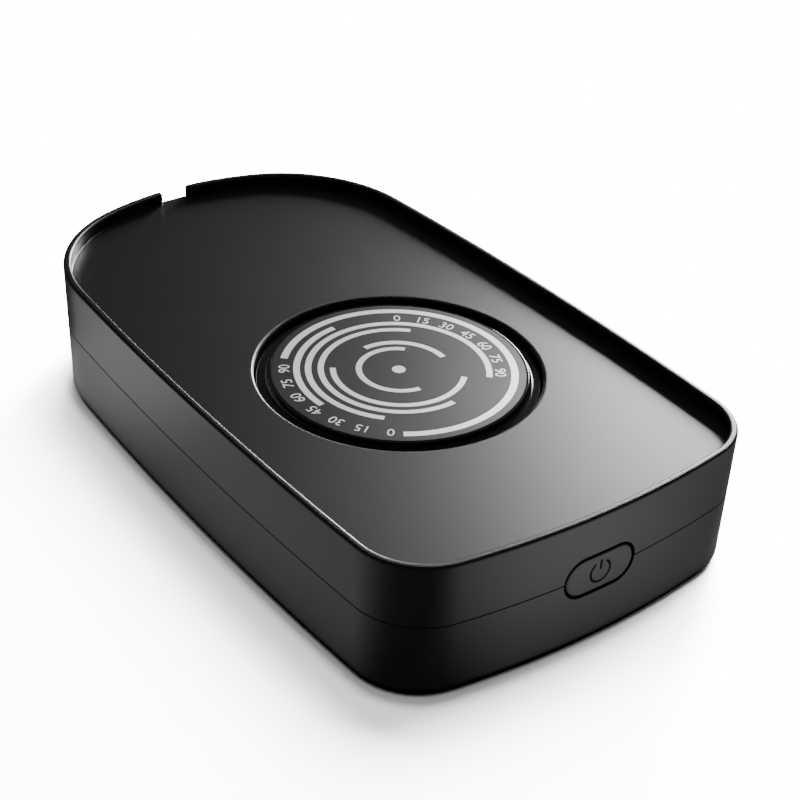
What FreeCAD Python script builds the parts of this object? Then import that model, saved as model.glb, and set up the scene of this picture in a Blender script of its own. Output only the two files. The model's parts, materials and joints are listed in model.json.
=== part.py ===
import FreeCAD, Part
import math
import os

# A mouse jiggler: a desk tray for a computer mouse, with a turntable under the mouse's sensor that
# a small motor turns through a gear train. Lengths are millimetres and angles are degrees.
# +Z is up. The power button faces -Y and the arched end, with its cable notch, faces +Y. The
# origin is the middle of the footprint, on the plane that the rubber feet stand on.

Vector = FreeCAD.Vector
UP = Vector(0, 0, 1)
BACKWARDS = Vector(0, 1, 0)

# Outline of the housing, seen from above. All its sides are bowed arcs.
HOUSING_WIDTH = 80.0
HOUSING_LENGTH = 138.0
FRONT_BOW_RADIUS = 175.0
FRONT_CORNER_RADIUS = 13.5
SIDE_BOW_RADIUS = 800.0
SIDE_BOW_CENTRE_Y = -20.4
ARCH_RADIUS = 56.0
SHOULDER_RADIUS = 29.5
SIDE_DRAFT = 0.53                # how far each side leans inwards from the rim to the bottom

# Walls of the two shells
WALL = 2.0
FLOOR_THICKNESS = 2.0
DECK_THICKNESS = 1.9
RIM_THICKNESS = 1.5
RIM_HEIGHT = 2.6                 # the rim above the tray
RIM_EDGE_ROUND = 0.4
BOTTOM_EDGE_ROUND = 1.1
PARTING_HEIGHT = 13.9            # the parting line above the bottom of the housing
LIP_THICKNESS = 0.8
LIP_HEIGHT = 1.2
LIP_CLEARANCE = 0.15
RIB_THICKNESS = 1.2
DECK_RIB_DEPTH = 2.6
NOTCH_WIDTH = 6.0
NOTCH_ROUND = 0.6

# Rubber feet
FOOT_RADIUS = 5.0
FOOT_THICKNESS = 1.4
FOOT_RECESS = 0.6
FOOT_CLEARANCE = 0.1
FOOT_CHAMFER = 0.3
FRONT_FOOT_INSET = 13.5          # from the widest part of the side to the foot's middle
FRONT_FOOT_SETBACK = 14.5        # from the front of the housing
REAR_FOOT_INSET = 18.5
REAR_FOOT_SETBACK = 18.5         # from the tip of the arched end

# Screws: head radius, head height, shank radius, length under the head
CASE_SCREW = (2.3, 1.6, 1.25, 13.0)
PLATE_SCREW = (2.0, 1.3, 1.0, 6.0)
BOARD_SCREW = (1.9, 1.2, 0.9, 5.0)
MOTOR_SCREW = (1.7, 1.1, 0.9, 2.4)
SCREW_HEAD_ROUND = 0.4           # share of the head's height
THREAD_CLEARANCE = 0.03
SHANK_CLEARANCE = 0.25

# Posts that join the shells
CASE_POST_RADIUS = 3.9
COVER_POST_RADIUS = 3.4
COUNTERBORE_DEPTH = 5.0
COUNTERBORE_CLEARANCE = 0.3
POST_SPLIT_DROP = 1.0            # the posts meet this far below the parting line
POST_INSET = 9.0                 # from the widest part of the side to the post's axis
FRONT_POST_SETBACK = 27.0
REAR_POST_SETBACK = 33.0

# Turntable
DISC_CENTRE_Y = -12.1
DISC_RADIUS = 23.85
DISC_STEP = 1.5                  # the top of the disc above its flange
DISC_RECESS = 0.1                # the top of the disc below the tray
RING_GAP = 2.5                   # from the disc's edge to the wall of the well
FLANGE_THICKNESS = 1.1
FLANGE_CLEARANCE = 0.35
FLANGE_ROUND = 0.8
DISC_EDGE_CHAMFER = 0.25
WELL_LIP_CHAMFER = 0.35
WELL_COLLAR_WALL = 1.6
FACE_FILM_THICKNESS = 0.25
FACE_FILM_MARGIN = 0.55
FACE_FILM_CLEARANCE = 0.05
DISC_CORE_DEPTH = 1.3            # pockets under the disc, between its radial ribs
DISC_CORE_INNER_RADIUS = 8.5
DISC_CORE_OUTER_RADIUS = 22.0
DISC_CORE_RIBS = 8
HUB_RADIUS = 6.2
HUB_SPIGOT_RADIUS = 5.6
HUB_KEYS = 3
HUB_KEY_WIDTH = 1.4
HUB_KEY_REACH = 0.7
KEY_CLEARANCE = 0.05
PIVOT_POST_RADIUS = 4.0
PIVOT_POST_CLEARANCE = 0.5
PIVOT_POST_DROP = 1.6            # the pivot post below the gearbox plate
WASHER_THICKNESS = 0.4
WASHER_GAP = 0.1
AXLE_RADIUS = 2.0
AXLE_CLEARANCE = 0.05
AXLE_TOP_SINK = 1.6              # how deep the axle is pressed into the disc
AXLE_TAIL = 1.9                  # the axle below the pivot post
CLIP_THICKNESS = 0.6
CLIP_RADIUS = 3.8
CLIP_GAP = 0.3
CLIP_GROOVE_DEPTH = 0.4
CLIP_MOUTH = 2.4

# Gear train: motor pinion, first reduction gear, final reduction gear, turntable gear
GEAR_MODULE = 0.5
PRESSURE_ANGLE = 20.0
PINION_TEETH = 10
FIRST_WHEEL_TEETH = 42
FIRST_PINION_TEETH = 12
FINAL_WHEEL_TEETH = 42
FINAL_PINION_TEETH = 12
TURNTABLE_TEETH = 60
PINION_ADDENDUM = 1.0            # in modules, as are the next three
PINION_DEDENDUM = 1.0
WHEEL_ADDENDUM = 0.6
WHEEL_DEDENDUM = 1.25
BACKLASH = 0.1
GEAR_FACE = 1.5
GEAR_GAP = 0.3
GEAR_HEADROOM = 0.4              # under the flange of the turntable
GEAR_PIN_RADIUS = 0.75
GEAR_PIN_CLEARANCE = 0.05
GEAR_HUB_RADIUS = 1.9
WHEEL_HOLES = 5
WHEEL_HOLE_RADIUS = 1.9
WHEEL_HOLE_CIRCLE = 6.2
FINAL_GEAR_BEARING = 58.0        # direction from the turntable to the final reduction gear
FIRST_GEAR_BEARING = 125.0       # direction from the final to the first reduction gear
MOTOR_BEARING = 97.0             # direction from the first reduction gear to the motor

# Gearbox plate
PLATE_THICKNESS = 1.7
PLATE_POST_RADIUS = 2.6
PLATE_POST_X = 18.5
PLATE_FRONT_REACH = 17.4         # from the turntable's axis to the front posts
PLATE_REAR_REACH = 12.0          # from the motor's axis to the rear posts
PLATE_MARGIN = 4.0
PLATE_CORNER_RADIUS = 3.9
PLATE_WAIST_RADIUS = 14.0
PLATE_WAIST_DEPTH = 7.0
PLATE_WAIST_Y = 9.0

# Motor
MOTOR_RADIUS = 12.2
MOTOR_HEIGHT = 10.4
MOTOR_WALL = 0.7
MOTOR_BOSS_RADIUS = 3.05
MOTOR_BOSS_HEIGHT = 1.4
MOTOR_REAR_BOSS_HEIGHT = 0.7
MOTOR_END_CAP_THICKNESS = 1.6
MOTOR_SHAFT_RADIUS = 1.0
MOTOR_SHAFT_CLEARANCE = 0.04
MOTOR_SHAFT_FLOOR = 0.2          # closed end of the rear bearing
MOTOR_SCREW_SPREAD = 6.0
MOTOR_HOLE_CLEARANCE = 0.1
MAGNET_THICKNESS = 1.3
MAGNET_HEIGHT = 6.4
MAGNET_SPLIT = 5.0
MAGNET_GAP = 0.05
ARMATURE_GAP = 0.5
ARMATURE_HEIGHT = 5.0
ARMATURE_POLES = 3
ARMATURE_SLOT = 1.6
ARMATURE_CORE_RADIUS = 4.0
COMMUTATOR_RADIUS = 2.2
PINION_HEIGHT_EXTRA = 0.15       # the motor pinion past its mate's faces
MOTOR_RING_CLEARANCE = 0.3
MOTOR_RING_WALL = 1.4
MOTOR_RING_HEIGHT = 5.0
MOTOR_RING_MOUTH = 13.0
TERMINAL_WIDTH = 1.6
TERMINAL_THICKNESS = 0.4
TERMINAL_SPREAD = 2.6
TERMINAL_RISE = 0.6
TERMINAL_REACH = 2.4
TERMINAL_ROOT = 2.0

# Power button and its switch
BUTTON_WIDTH = 14.5
BUTTON_HEIGHT = 7.3
BUTTON_GAP = 0.45
BUTTON_EDGE_ROUND = 0.3
BUTTON_FLANGE_OVERHANG = 1.0
BUTTON_FLANGE_THICKNESS = 1.2
BUTTON_FLANGE_GAP = 0.2
BUTTON_STEM_RADIUS = 2.4
BUTTON_STEM_LENGTH = 2.0
BUTTON_TRAVEL = 0.8
SWITCH_WIDTH = 7.0
SWITCH_DEPTH = 6.0
SWITCH_HEIGHT = 7.0
SWITCH_PLUNGER_RADIUS = 1.6
SWITCH_PLUNGER_REACH = 2.6
SWITCH_PLUNGER_ROOT = 1.2
SWITCH_BORE_CLEARANCE = 0.06

# Main board
BOARD_POST_GAP = 1.1             # from its sides to the posts of the case screws
BOARD_PLATE_GAP = 1.4            # from its rear edge to the gearbox plate
BOARD_THICKNESS = 1.6
BOARD_CORNER_RADIUS = 2.0
BOARD_OVERHANG = 0.4             # the board in front of the switch
BOARD_HOLE_INSET = 3.6
BOARD_POST_RADIUS = 2.3
CHIP_SIZE = (7.0, 5.0, 1.5)
CHIP_PLACE = (-6.0, 13.0)        # from the middle of the board's front edge, as are the next two
DRIVER_SIZE = (5.0, 4.0, 1.4)
DRIVER_PLACE = (3.0, 13.5)
CAPACITOR_RADIUS = 3.15
CAPACITOR_HEIGHT = 6.6
CAPACITOR_EDGE_ROUND = 0.4
CAPACITOR_INSET = (8.4, 9.4)     # its axis, from the board's right side and from its front edge
SOCKET_SIZE = (5.0, 6.0, 3.4)
POWER_SOCKET_X = -13.0
MOTOR_SOCKET_X = 11.0
SOCKET_REAR_INSET = 1.2

# USB-C inlet
USB_WIDTH = 8.94
USB_HEIGHT = 3.26
USB_LENGTH = 7.35
USB_WALL = 0.3
USB_TONGUE_SIZE = (6.6, 4.5, 0.7)
USB_BASE_DEPTH = 1.6
USB_OPENING_GAP = 0.25
USB_MOUTH_INSET = 0.8            # its mouth inside the end of the housing
USB_BOARD_WIDTH = 18.0
USB_BOARD_DEPTH = 12.0
USB_BOARD_THICKNESS = 1.2
USB_BOARD_INSET = 0.4            # the board's corners from the inner wall
USB_HOLE_X = 6.4
USB_HOLE_INSET = 3.2
USB_POST_RADIUS = 2.2

# Leads inside the housing
LEAD_DIAMETER = 1.3
LEAD_SPACING = 1.8
ARC_SHARE = 0.45                 # share of the shorter run that a bend of a lead takes

# Small working values
CUT_MARGIN = 1.0                 # how far cutting bodies run past what they cut
SAME_HEIGHT = 0.01               # edges this near a height lie at it
UPRIGHT = 0.5                    # least rise of an upright edge's direction

# Heights, from the feet upwards
HOUSING_BOTTOM_Z = FOOT_THICKNESS - FOOT_RECESS
FLOOR_TOP_Z = HOUSING_BOTTOM_Z + FLOOR_THICKNESS
MOTOR_BOTTOM_Z = FLOOR_TOP_Z + MOTOR_REAR_BOSS_HEIGHT
PLATE_BOTTOM_Z = MOTOR_BOTTOM_Z + MOTOR_HEIGHT
PLATE_TOP_Z = PLATE_BOTTOM_Z + PLATE_THICKNESS
LOW_GEAR_Z = PLATE_TOP_Z + GEAR_GAP
MIDDLE_GEAR_Z = LOW_GEAR_Z + GEAR_FACE + GEAR_GAP
HIGH_GEAR_Z = MIDDLE_GEAR_Z + GEAR_FACE + GEAR_GAP
HIGH_GEAR_TOP_Z = HIGH_GEAR_Z + GEAR_FACE
FLANGE_BOTTOM_Z = HIGH_GEAR_TOP_Z + GEAR_HEADROOM
FLANGE_TOP_Z = FLANGE_BOTTOM_Z + FLANGE_THICKNESS
DISC_TOP_Z = FLANGE_TOP_Z + DISC_STEP
TRAY_Z = DISC_TOP_Z + DISC_RECESS
DECK_UNDERSIDE_Z = TRAY_Z - DECK_THICKNESS
RIM_TOP_Z = TRAY_Z + RIM_HEIGHT
PARTING_Z = HOUSING_BOTTOM_Z + PARTING_HEIGHT
POST_SPLIT_Z = PARTING_Z - POST_SPLIT_DROP
HOUSING_HEIGHT = RIM_TOP_Z - HOUSING_BOTTOM_Z
BUTTON_Z = PARTING_Z
BOARD_TOP_Z = BUTTON_Z - SWITCH_HEIGHT / 2
BOARD_BOTTOM_Z = BOARD_TOP_Z - BOARD_THICKNESS
USB_Z = PARTING_Z
USB_BOARD_TOP_Z = USB_Z - USB_HEIGHT / 2
USB_BOARD_BOTTOM_Z = USB_BOARD_TOP_Z - USB_BOARD_THICKNESS

# Radii and places that follow from the sizes above
WELL_RADIUS = DISC_RADIUS + RING_GAP
FLANGE_RADIUS = WELL_RADIUS - FLANGE_CLEARANCE
DISC_AXIS = Vector(0, DISC_CENTRE_Y, 0)
HUB_BORE_RADIUS = PIVOT_POST_RADIUS + PIVOT_POST_CLEARANCE
PIVOT_POST_TOP_Z = FLANGE_BOTTOM_Z - WASHER_THICKNESS - WASHER_GAP
PIVOT_POST_BOTTOM_Z = PLATE_BOTTOM_Z - PIVOT_POST_DROP
POST_X = HOUSING_WIDTH / 2 - POST_INSET
POST_YS = (-HOUSING_LENGTH / 2 + FRONT_POST_SETBACK, HOUSING_LENGTH / 2 - REAR_POST_SETBACK)
CASE_POST_PLACES = [(x, y) for y in POST_YS for x in (-POST_X, POST_X)]
FRONT_FOOT_X = HOUSING_WIDTH / 2 - FRONT_FOOT_INSET
FRONT_FOOT_Y = -HOUSING_LENGTH / 2 + FRONT_FOOT_SETBACK
REAR_FOOT_X = HOUSING_WIDTH / 2 - REAR_FOOT_INSET
REAR_FOOT_Y = HOUSING_LENGTH / 2 - REAR_FOOT_SETBACK
FOOT_PLACES = [(-FRONT_FOOT_X, FRONT_FOOT_Y), (FRONT_FOOT_X, FRONT_FOOT_Y),
               (-REAR_FOOT_X, REAR_FOOT_Y), (REAR_FOOT_X, REAR_FOOT_Y)]


def lean(z):
    """How far the side of the housing stands inside its rim at height z."""
    return SIDE_DRAFT * (RIM_TOP_Z - z) / HOUSING_HEIGHT


def bow_sagitta(half_width, radius):
    """How far an arc of this radius falls back at half_width from its middle."""
    return radius - math.sqrt(radius ** 2 - half_width ** 2)


# Places along the length of the button, its switch and the main board
WALL_INNER_FRONT_Y = -HOUSING_LENGTH / 2 + lean(BUTTON_Z) + WALL
FLANGE_HALF_WIDTH = BUTTON_WIDTH / 2 + BUTTON_FLANGE_OVERHANG
BUTTON_FLANGE_Y = WALL_INNER_FRONT_Y + bow_sagitta(FLANGE_HALF_WIDTH, FRONT_BOW_RADIUS) + BUTTON_FLANGE_GAP
BUTTON_STEM_Y = BUTTON_FLANGE_Y + BUTTON_FLANGE_THICKNESS
PLUNGER_TIP_Y = BUTTON_STEM_Y + BUTTON_STEM_LENGTH
SWITCH_FRONT_Y = PLUNGER_TIP_Y + SWITCH_PLUNGER_REACH
BOARD_FRONT_Y = SWITCH_FRONT_Y - BOARD_OVERHANG

# Places along the length of the USB-C inlet
WALL_INNER_REAR_Y = HOUSING_LENGTH / 2 - lean(USB_Z) - WALL
USB_MOUTH_Y = HOUSING_LENGTH / 2 - lean(USB_Z) - USB_MOUTH_INSET
USB_BOARD_REAR_Y = WALL_INNER_REAR_Y - bow_sagitta(USB_BOARD_WIDTH / 2, ARCH_RADIUS) - USB_BOARD_INSET
USB_BOARD_FRONT_Y = USB_BOARD_REAR_Y - USB_BOARD_DEPTH
USB_HOLE_Y = USB_BOARD_FRONT_Y + USB_HOLE_INSET


def pitch_radius(teeth):
    """Pitch radius of a gear of the train."""
    return teeth * GEAR_MODULE / 2


def step_towards(start, bearing, distance):
    """The point at a distance from start, in a direction measured from +X."""
    angle = math.radians(bearing)
    return start + Vector(distance * math.cos(angle), distance * math.sin(angle), 0)


# Axes of the gear train, from the turntable back to the motor
FINAL_DISTANCE = pitch_radius(TURNTABLE_TEETH) + pitch_radius(FINAL_PINION_TEETH)
FIRST_DISTANCE = pitch_radius(FINAL_WHEEL_TEETH) + pitch_radius(FIRST_PINION_TEETH)
MOTOR_DISTANCE = pitch_radius(FIRST_WHEEL_TEETH) + pitch_radius(PINION_TEETH)
FINAL_AXIS = step_towards(DISC_AXIS, FINAL_GEAR_BEARING, FINAL_DISTANCE)
FIRST_AXIS = step_towards(FINAL_AXIS, FIRST_GEAR_BEARING, FIRST_DISTANCE)
MOTOR_AXIS = step_towards(FIRST_AXIS, MOTOR_BEARING, MOTOR_DISTANCE)
PLATE_FRONT_POST_Y = DISC_CENTRE_Y - PLATE_FRONT_REACH
PLATE_REAR_POST_Y = MOTOR_AXIS.y + PLATE_REAR_REACH
PLATE_POST_YS = (PLATE_FRONT_POST_Y, PLATE_REAR_POST_Y)
PLATE_POST_PLACES = [(x, y) for x in (-PLATE_POST_X, PLATE_POST_X) for y in PLATE_POST_YS]
MOTOR_SCREW_PLACES = [(MOTOR_AXIS.x + side * MOTOR_SCREW_SPREAD, MOTOR_AXIS.y) for side in (-1, 1)]
BOARD_REAR_Y = PLATE_FRONT_POST_Y - PLATE_MARGIN - BOARD_PLATE_GAP
BOARD_HALF_WIDTH = POST_X - CASE_POST_RADIUS - BOARD_POST_GAP
BOARD_HOLE_X = BOARD_HALF_WIDTH - BOARD_HOLE_INSET
BOARD_HOLE_YS = (BOARD_FRONT_Y + BOARD_HOLE_INSET, BOARD_REAR_Y - BOARD_HOLE_INSET)
BOARD_HOLE_PLACES = [(x, y) for x in (-BOARD_HOLE_X, BOARD_HOLE_X) for y in BOARD_HOLE_YS]
USB_HOLE_PLACES = [(-USB_HOLE_X, USB_HOLE_Y), (USB_HOLE_X, USB_HOLE_Y)]
SOCKET_REAR_Y = BOARD_REAR_Y - SOCKET_REAR_INSET
SOCKET_LEAD_Z = BOARD_TOP_Z + SOCKET_SIZE[2] / 2
TERMINAL_Z = MOTOR_BOTTOM_Z + TERMINAL_RISE
TERMINAL_TIP_Y = MOTOR_AXIS.y - MOTOR_RADIUS - TERMINAL_REACH


# ---------------------------------------------------------------- shared shapes

def cylinder(radius, low, high, place=(0, 0)):
    """An upright cylinder between two heights."""
    return Part.makeCylinder(radius, high - low, Vector(place[0], place[1], low))


def tube(outer, inner, low, high, place=(0, 0)):
    """An upright tube between two heights."""
    return cylinder(outer, low, high, place).cut(cylinder(inner, low, high, place))


def block(x_low, x_high, y_low, y_high, z_low, z_high):
    """A box between two corners."""
    size = (x_high - x_low, y_high - y_low, z_high - z_low)
    return Part.makeBox(size[0], size[1], size[2], Vector(x_low, y_low, z_low))


def centred_block(size, x, y, z_low):
    """A box of (width, depth, height) with its middle over a place."""
    return block(x - size[0] / 2, x + size[0] / 2, y - size[1] / 2, y + size[1] / 2, z_low, z_low + size[2])


def joined(shapes):
    """One solid from touching shapes."""
    first = shapes[0]
    return first.multiFuse(shapes[1:]).removeSplitter()


def arc_edge(centre, radius, start, end, z):
    """An arc in a level plane, between two angles in radians."""
    points = []
    for angle in (start, (start + end) / 2, end):
        points.append(Vector(centre.x + radius * math.cos(angle), centre.y + radius * math.sin(angle), z))
    return Part.Arc(*points).toShape()


def upright_edges(shape):
    """The edges of a shape that stand upright."""
    return [edge for edge in shape.Edges if abs(edge.tangentAt(edge.FirstParameter).z) > UPRIGHT]


def edges_level_at(shape, z):
    """The edges of a shape that lie level at height z."""
    found = []
    for edge in shape.Edges:
        box = edge.BoundBox
        if abs(box.ZMin - z) < SAME_HEIGHT and abs(box.ZMax - z) < SAME_HEIGHT:
            found.append(edge)
    return found


def rounded_plate(x_low, x_high, y_low, y_high, corner, z_low, z_high):
    """A flat plate with rounded corners."""
    plate = block(x_low, x_high, y_low, y_high, z_low, z_high)
    return plate.makeFillet(corner, upright_edges(plate))


def stadium(width, height, y_low, y_high, z_centre):
    """A bar along Y with a round-ended section, level and centred on X = 0."""
    reach = (width - height) / 2
    radius = height / 2
    top = z_centre + radius
    bottom = z_centre - radius
    edges = [
        Part.LineSegment(Vector(-reach, y_low, bottom), Vector(reach, y_low, bottom)).toShape(),
        Part.Arc(Vector(reach, y_low, bottom), Vector(reach + radius, y_low, z_centre),
                 Vector(reach, y_low, top)).toShape(),
        Part.LineSegment(Vector(reach, y_low, top), Vector(-reach, y_low, top)).toShape(),
        Part.Arc(Vector(-reach, y_low, top), Vector(-reach - radius, y_low, z_centre),
                 Vector(-reach, y_low, bottom)).toShape(),
    ]
    return Part.Face(Part.Wire(edges)).extrude(BACKWARDS * (y_high - y_low))


def screw(sizes, place, seat_z, up):
    """A pan-head screw with its head against seat_z, pointing up or down."""
    head_radius, head_height, shank_radius, length = sizes
    side = 1 if up else -1
    head_z = sorted((seat_z, seat_z - side * head_height))
    shank_z = sorted((seat_z, seat_z + side * length))
    head = cylinder(head_radius, head_z[0], head_z[1], place)
    head = head.makeFillet(head_height * SCREW_HEAD_ROUND, edges_level_at(head, seat_z - side * head_height))
    return joined([head, cylinder(shank_radius, shank_z[0], shank_z[1], place)])


# ---------------------------------------------------------------- outline of the housing

def circles_meeting(first, first_radius, second, second_radius):
    """Both points where two level circles meet, the one with the lower Y first."""
    apart = second - first
    along = (first_radius ** 2 - second_radius ** 2 + apart.Length ** 2) / (2 * apart.Length)
    aside = math.sqrt(first_radius ** 2 - along ** 2)
    direction = apart * (1 / apart.Length)
    normal = Vector(-direction.y, direction.x, 0)
    points = [first + direction * along + normal * aside, first + direction * along - normal * aside]
    return sorted(points, key=lambda point: point.y)


def bearing_of(vector):
    """The angle of a level vector, in radians."""
    return math.atan2(vector.y, vector.x)


FRONT_BOW_CENTRE = Vector(0, -HOUSING_LENGTH / 2 + FRONT_BOW_RADIUS, 0)
ARCH_CENTRE = Vector(0, HOUSING_LENGTH / 2 - ARCH_RADIUS, 0)
SIDE_BOW_CENTRE = Vector(HOUSING_WIDTH / 2 - SIDE_BOW_RADIUS, SIDE_BOW_CENTRE_Y, 0)
FRONT_CORNER_CENTRE = circles_meeting(FRONT_BOW_CENTRE, FRONT_BOW_RADIUS - FRONT_CORNER_RADIUS,
                                      SIDE_BOW_CENTRE, SIDE_BOW_RADIUS - FRONT_CORNER_RADIUS)[0]
SHOULDER_CENTRE = circles_meeting(ARCH_CENTRE, ARCH_RADIUS - SHOULDER_RADIUS,
                                  SIDE_BOW_CENTRE, SIDE_BOW_RADIUS - SHOULDER_RADIUS)[1]


def mirrored(centre):
    """The same point on the other side of the housing."""
    return Vector(-centre.x, centre.y, centre.z)


def outline_wire(inset, z):
    """The outline of the housing at height z, moved inwards by inset."""
    front = bearing_of(FRONT_CORNER_CENTRE - FRONT_BOW_CENTRE)
    side_front = bearing_of(FRONT_CORNER_CENTRE - SIDE_BOW_CENTRE)
    side_rear = bearing_of(SHOULDER_CENTRE - SIDE_BOW_CENTRE)
    rear = bearing_of(SHOULDER_CENTRE - ARCH_CENTRE)
    half_turn = math.pi
    arcs = [
        (FRONT_BOW_CENTRE, FRONT_BOW_RADIUS, -half_turn - front, front),
        (FRONT_CORNER_CENTRE, FRONT_CORNER_RADIUS, front, side_front),
        (SIDE_BOW_CENTRE, SIDE_BOW_RADIUS, side_front, side_rear),
        (SHOULDER_CENTRE, SHOULDER_RADIUS, side_rear, rear),
        (ARCH_CENTRE, ARCH_RADIUS, rear, half_turn - rear),
        (mirrored(SHOULDER_CENTRE), SHOULDER_RADIUS, half_turn - rear, half_turn - side_rear),
        (mirrored(SIDE_BOW_CENTRE), SIDE_BOW_RADIUS, half_turn - side_rear, half_turn - side_front),
        (mirrored(FRONT_CORNER_CENTRE), FRONT_CORNER_RADIUS, half_turn - side_front, half_turn - front),
    ]
    return Part.Wire([arc_edge(centre, radius - inset, start, end, z) for centre, radius, start, end in arcs])


def housing_form(z_low, z_high, inset):
    """The leaning form of the housing between two heights, moved inwards by inset."""
    low = outline_wire(inset + lean(z_low), z_low)
    high = outline_wire(inset + lean(z_high), z_high)
    return Part.makeLoft([low, high], True, True)


# ---------------------------------------------------------------- housing

def button_opening():
    """The opening of the power button, through both shells."""
    return stadium(BUTTON_WIDTH + 2 * BUTTON_GAP, BUTTON_HEIGHT + 2 * BUTTON_GAP,
                   -HOUSING_LENGTH / 2 - CUT_MARGIN, BUTTON_STEM_Y, BUTTON_Z)


def usb_opening():
    """The opening of the USB-C inlet, through both shells."""
    return stadium(USB_WIDTH + 2 * USB_OPENING_GAP, USB_HEIGHT + 2 * USB_OPENING_GAP,
                   USB_BOARD_REAR_Y, HOUSING_LENGTH / 2 + CUT_MARGIN, USB_Z)


def lip_ring(z_low, z_high, clearance):
    """The tongue that locates the shells, or with a clearance the rebate that it enters."""
    outer = housing_form(z_low, z_high, WALL - LIP_THICKNESS - clearance)
    inner = housing_form(z_low, z_high, WALL + clearance)
    return outer.cut(inner)


def post_gussets(places, radius, z_low, z_high):
    """Ribs that tie the posts of the case screws to the side walls."""
    ribs = []
    for x, y in places:
        outer = math.copysign(HOUSING_WIDTH / 2, x)
        inner = x + math.copysign(radius / 2, x)
        x_low, x_high = sorted((inner, outer))
        ribs.append(block(x_low, x_high, y - RIB_THICKNESS / 2, y + RIB_THICKNESS / 2, z_low, z_high))
    return ribs


def motor_ring():
    """The ring on the floor that the motor stands in, open towards the leads."""
    inner = MOTOR_RADIUS + MOTOR_RING_CLEARANCE
    place = (MOTOR_AXIS.x, MOTOR_AXIS.y)
    ring = tube(inner + MOTOR_RING_WALL, inner, FLOOR_TOP_Z, FLOOR_TOP_Z + MOTOR_RING_HEIGHT, place)
    half = MOTOR_RING_MOUTH / 2
    front = MOTOR_AXIS.y - inner - MOTOR_RING_WALL - CUT_MARGIN
    mouth = block(MOTOR_AXIS.x - half, MOTOR_AXIS.x + half, front, MOTOR_AXIS.y,
                  FLOOR_TOP_Z, FLOOR_TOP_Z + MOTOR_RING_HEIGHT + CUT_MARGIN)
    return ring.cut(mouth)


def pilot_post(radius, sizes, place, z_low, z_high):
    """A post with a pilot hole for a screw that enters from above."""
    hole = sizes[2] + THREAD_CLEARANCE
    depth = min(sizes[3] + CUT_MARGIN, z_high - z_low)
    return cylinder(radius, z_low, z_high, place), cylinder(hole, z_high - depth, z_high + CUT_MARGIN, place)


def make_bottom_case():
    """The lower shell: floor, side walls, locating lip, posts and the motor's ring."""
    outer = housing_form(HOUSING_BOTTOM_Z, PARTING_Z, 0)
    outer = outer.makeFillet(BOTTOM_EDGE_ROUND, edges_level_at(outer, HOUSING_BOTTOM_Z))
    cavity = housing_form(FLOOR_TOP_Z, PARTING_Z + CUT_MARGIN, WALL)
    shell = outer.cut(cavity)
    lip = lip_ring(PARTING_Z, PARTING_Z + LIP_HEIGHT, 0)
    added = [lip, motor_ring()]
    holes = [button_opening(), usb_opening()]
    for place in CASE_POST_PLACES:
        added.append(cylinder(CASE_POST_RADIUS, FLOOR_TOP_Z, POST_SPLIT_Z, place))
        seat = HOUSING_BOTTOM_Z + COUNTERBORE_DEPTH
        bore = CASE_SCREW[0] + COUNTERBORE_CLEARANCE
        holes.append(cylinder(bore, HOUSING_BOTTOM_Z - CUT_MARGIN, seat, place))
        holes.append(cylinder(CASE_SCREW[2] + SHANK_CLEARANCE, seat, POST_SPLIT_Z + CUT_MARGIN, place))
    inside = housing_form(FLOOR_TOP_Z, POST_SPLIT_Z, WALL / 2)
    for rib in post_gussets(CASE_POST_PLACES, CASE_POST_RADIUS, FLOOR_TOP_Z, POST_SPLIT_Z - POST_SPLIT_DROP):
        added.append(rib.common(inside))
    carriers = [
        (PLATE_POST_PLACES, PLATE_POST_RADIUS, PLATE_SCREW, PLATE_BOTTOM_Z),
        (BOARD_HOLE_PLACES, BOARD_POST_RADIUS, BOARD_SCREW, BOARD_BOTTOM_Z),
        (USB_HOLE_PLACES, USB_POST_RADIUS, BOARD_SCREW, USB_BOARD_BOTTOM_Z),
    ]
    for places, radius, sizes, top in carriers:
        for place in places:
            post, hole = pilot_post(radius, sizes, place, FLOOR_TOP_Z, top)
            added.append(post)
            holes.append(hole)
    for place in FOOT_PLACES:
        recess = FOOT_RADIUS + FOOT_CLEARANCE
        holes.append(cylinder(recess, HOUSING_BOTTOM_Z - CUT_MARGIN, HOUSING_BOTTOM_Z + FOOT_RECESS, place))
    return joined([shell] + added).cut(Part.makeCompound(holes))


def well_cutter():
    """The round well of the turntable, with the chamfer of its lip."""
    hole = cylinder(WELL_RADIUS, FLANGE_BOTTOM_Z - CUT_MARGIN, RIM_TOP_Z, (0, DISC_CENTRE_Y))
    base = Vector(0, DISC_CENTRE_Y, TRAY_Z - WELL_LIP_CHAMFER)
    lip = Part.makeCone(WELL_RADIUS, WELL_RADIUS + WELL_LIP_CHAMFER, WELL_LIP_CHAMFER, base)
    return hole.fuse(lip)


def cable_notch():
    """The notch in the rim that the mouse's cable leaves through."""
    half = NOTCH_WIDTH / 2
    y_low = HOUSING_LENGTH / 2 - RIM_THICKNESS - NOTCH_WIDTH
    y_high = HOUSING_LENGTH / 2 + CUT_MARGIN
    return block(-half, half, y_low, y_high, TRAY_Z, RIM_TOP_Z + CUT_MARGIN)


def round_notch_ends(cover):
    """Round the inner upright corners of the rim on each side of the cable notch."""
    corners = []
    for edge in upright_edges(cover):
        middle = edge.BoundBox.Center
        beside = abs(abs(middle.x) - NOTCH_WIDTH / 2) < NOTCH_ROUND / 2
        on_rim = middle.z > TRAY_Z and 0 < middle.y < HOUSING_LENGTH / 2 - RIM_THICKNESS / 2
        if beside and on_rim:
            corners.append(edge)
    return cover.makeFillet(NOTCH_ROUND, corners)


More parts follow.
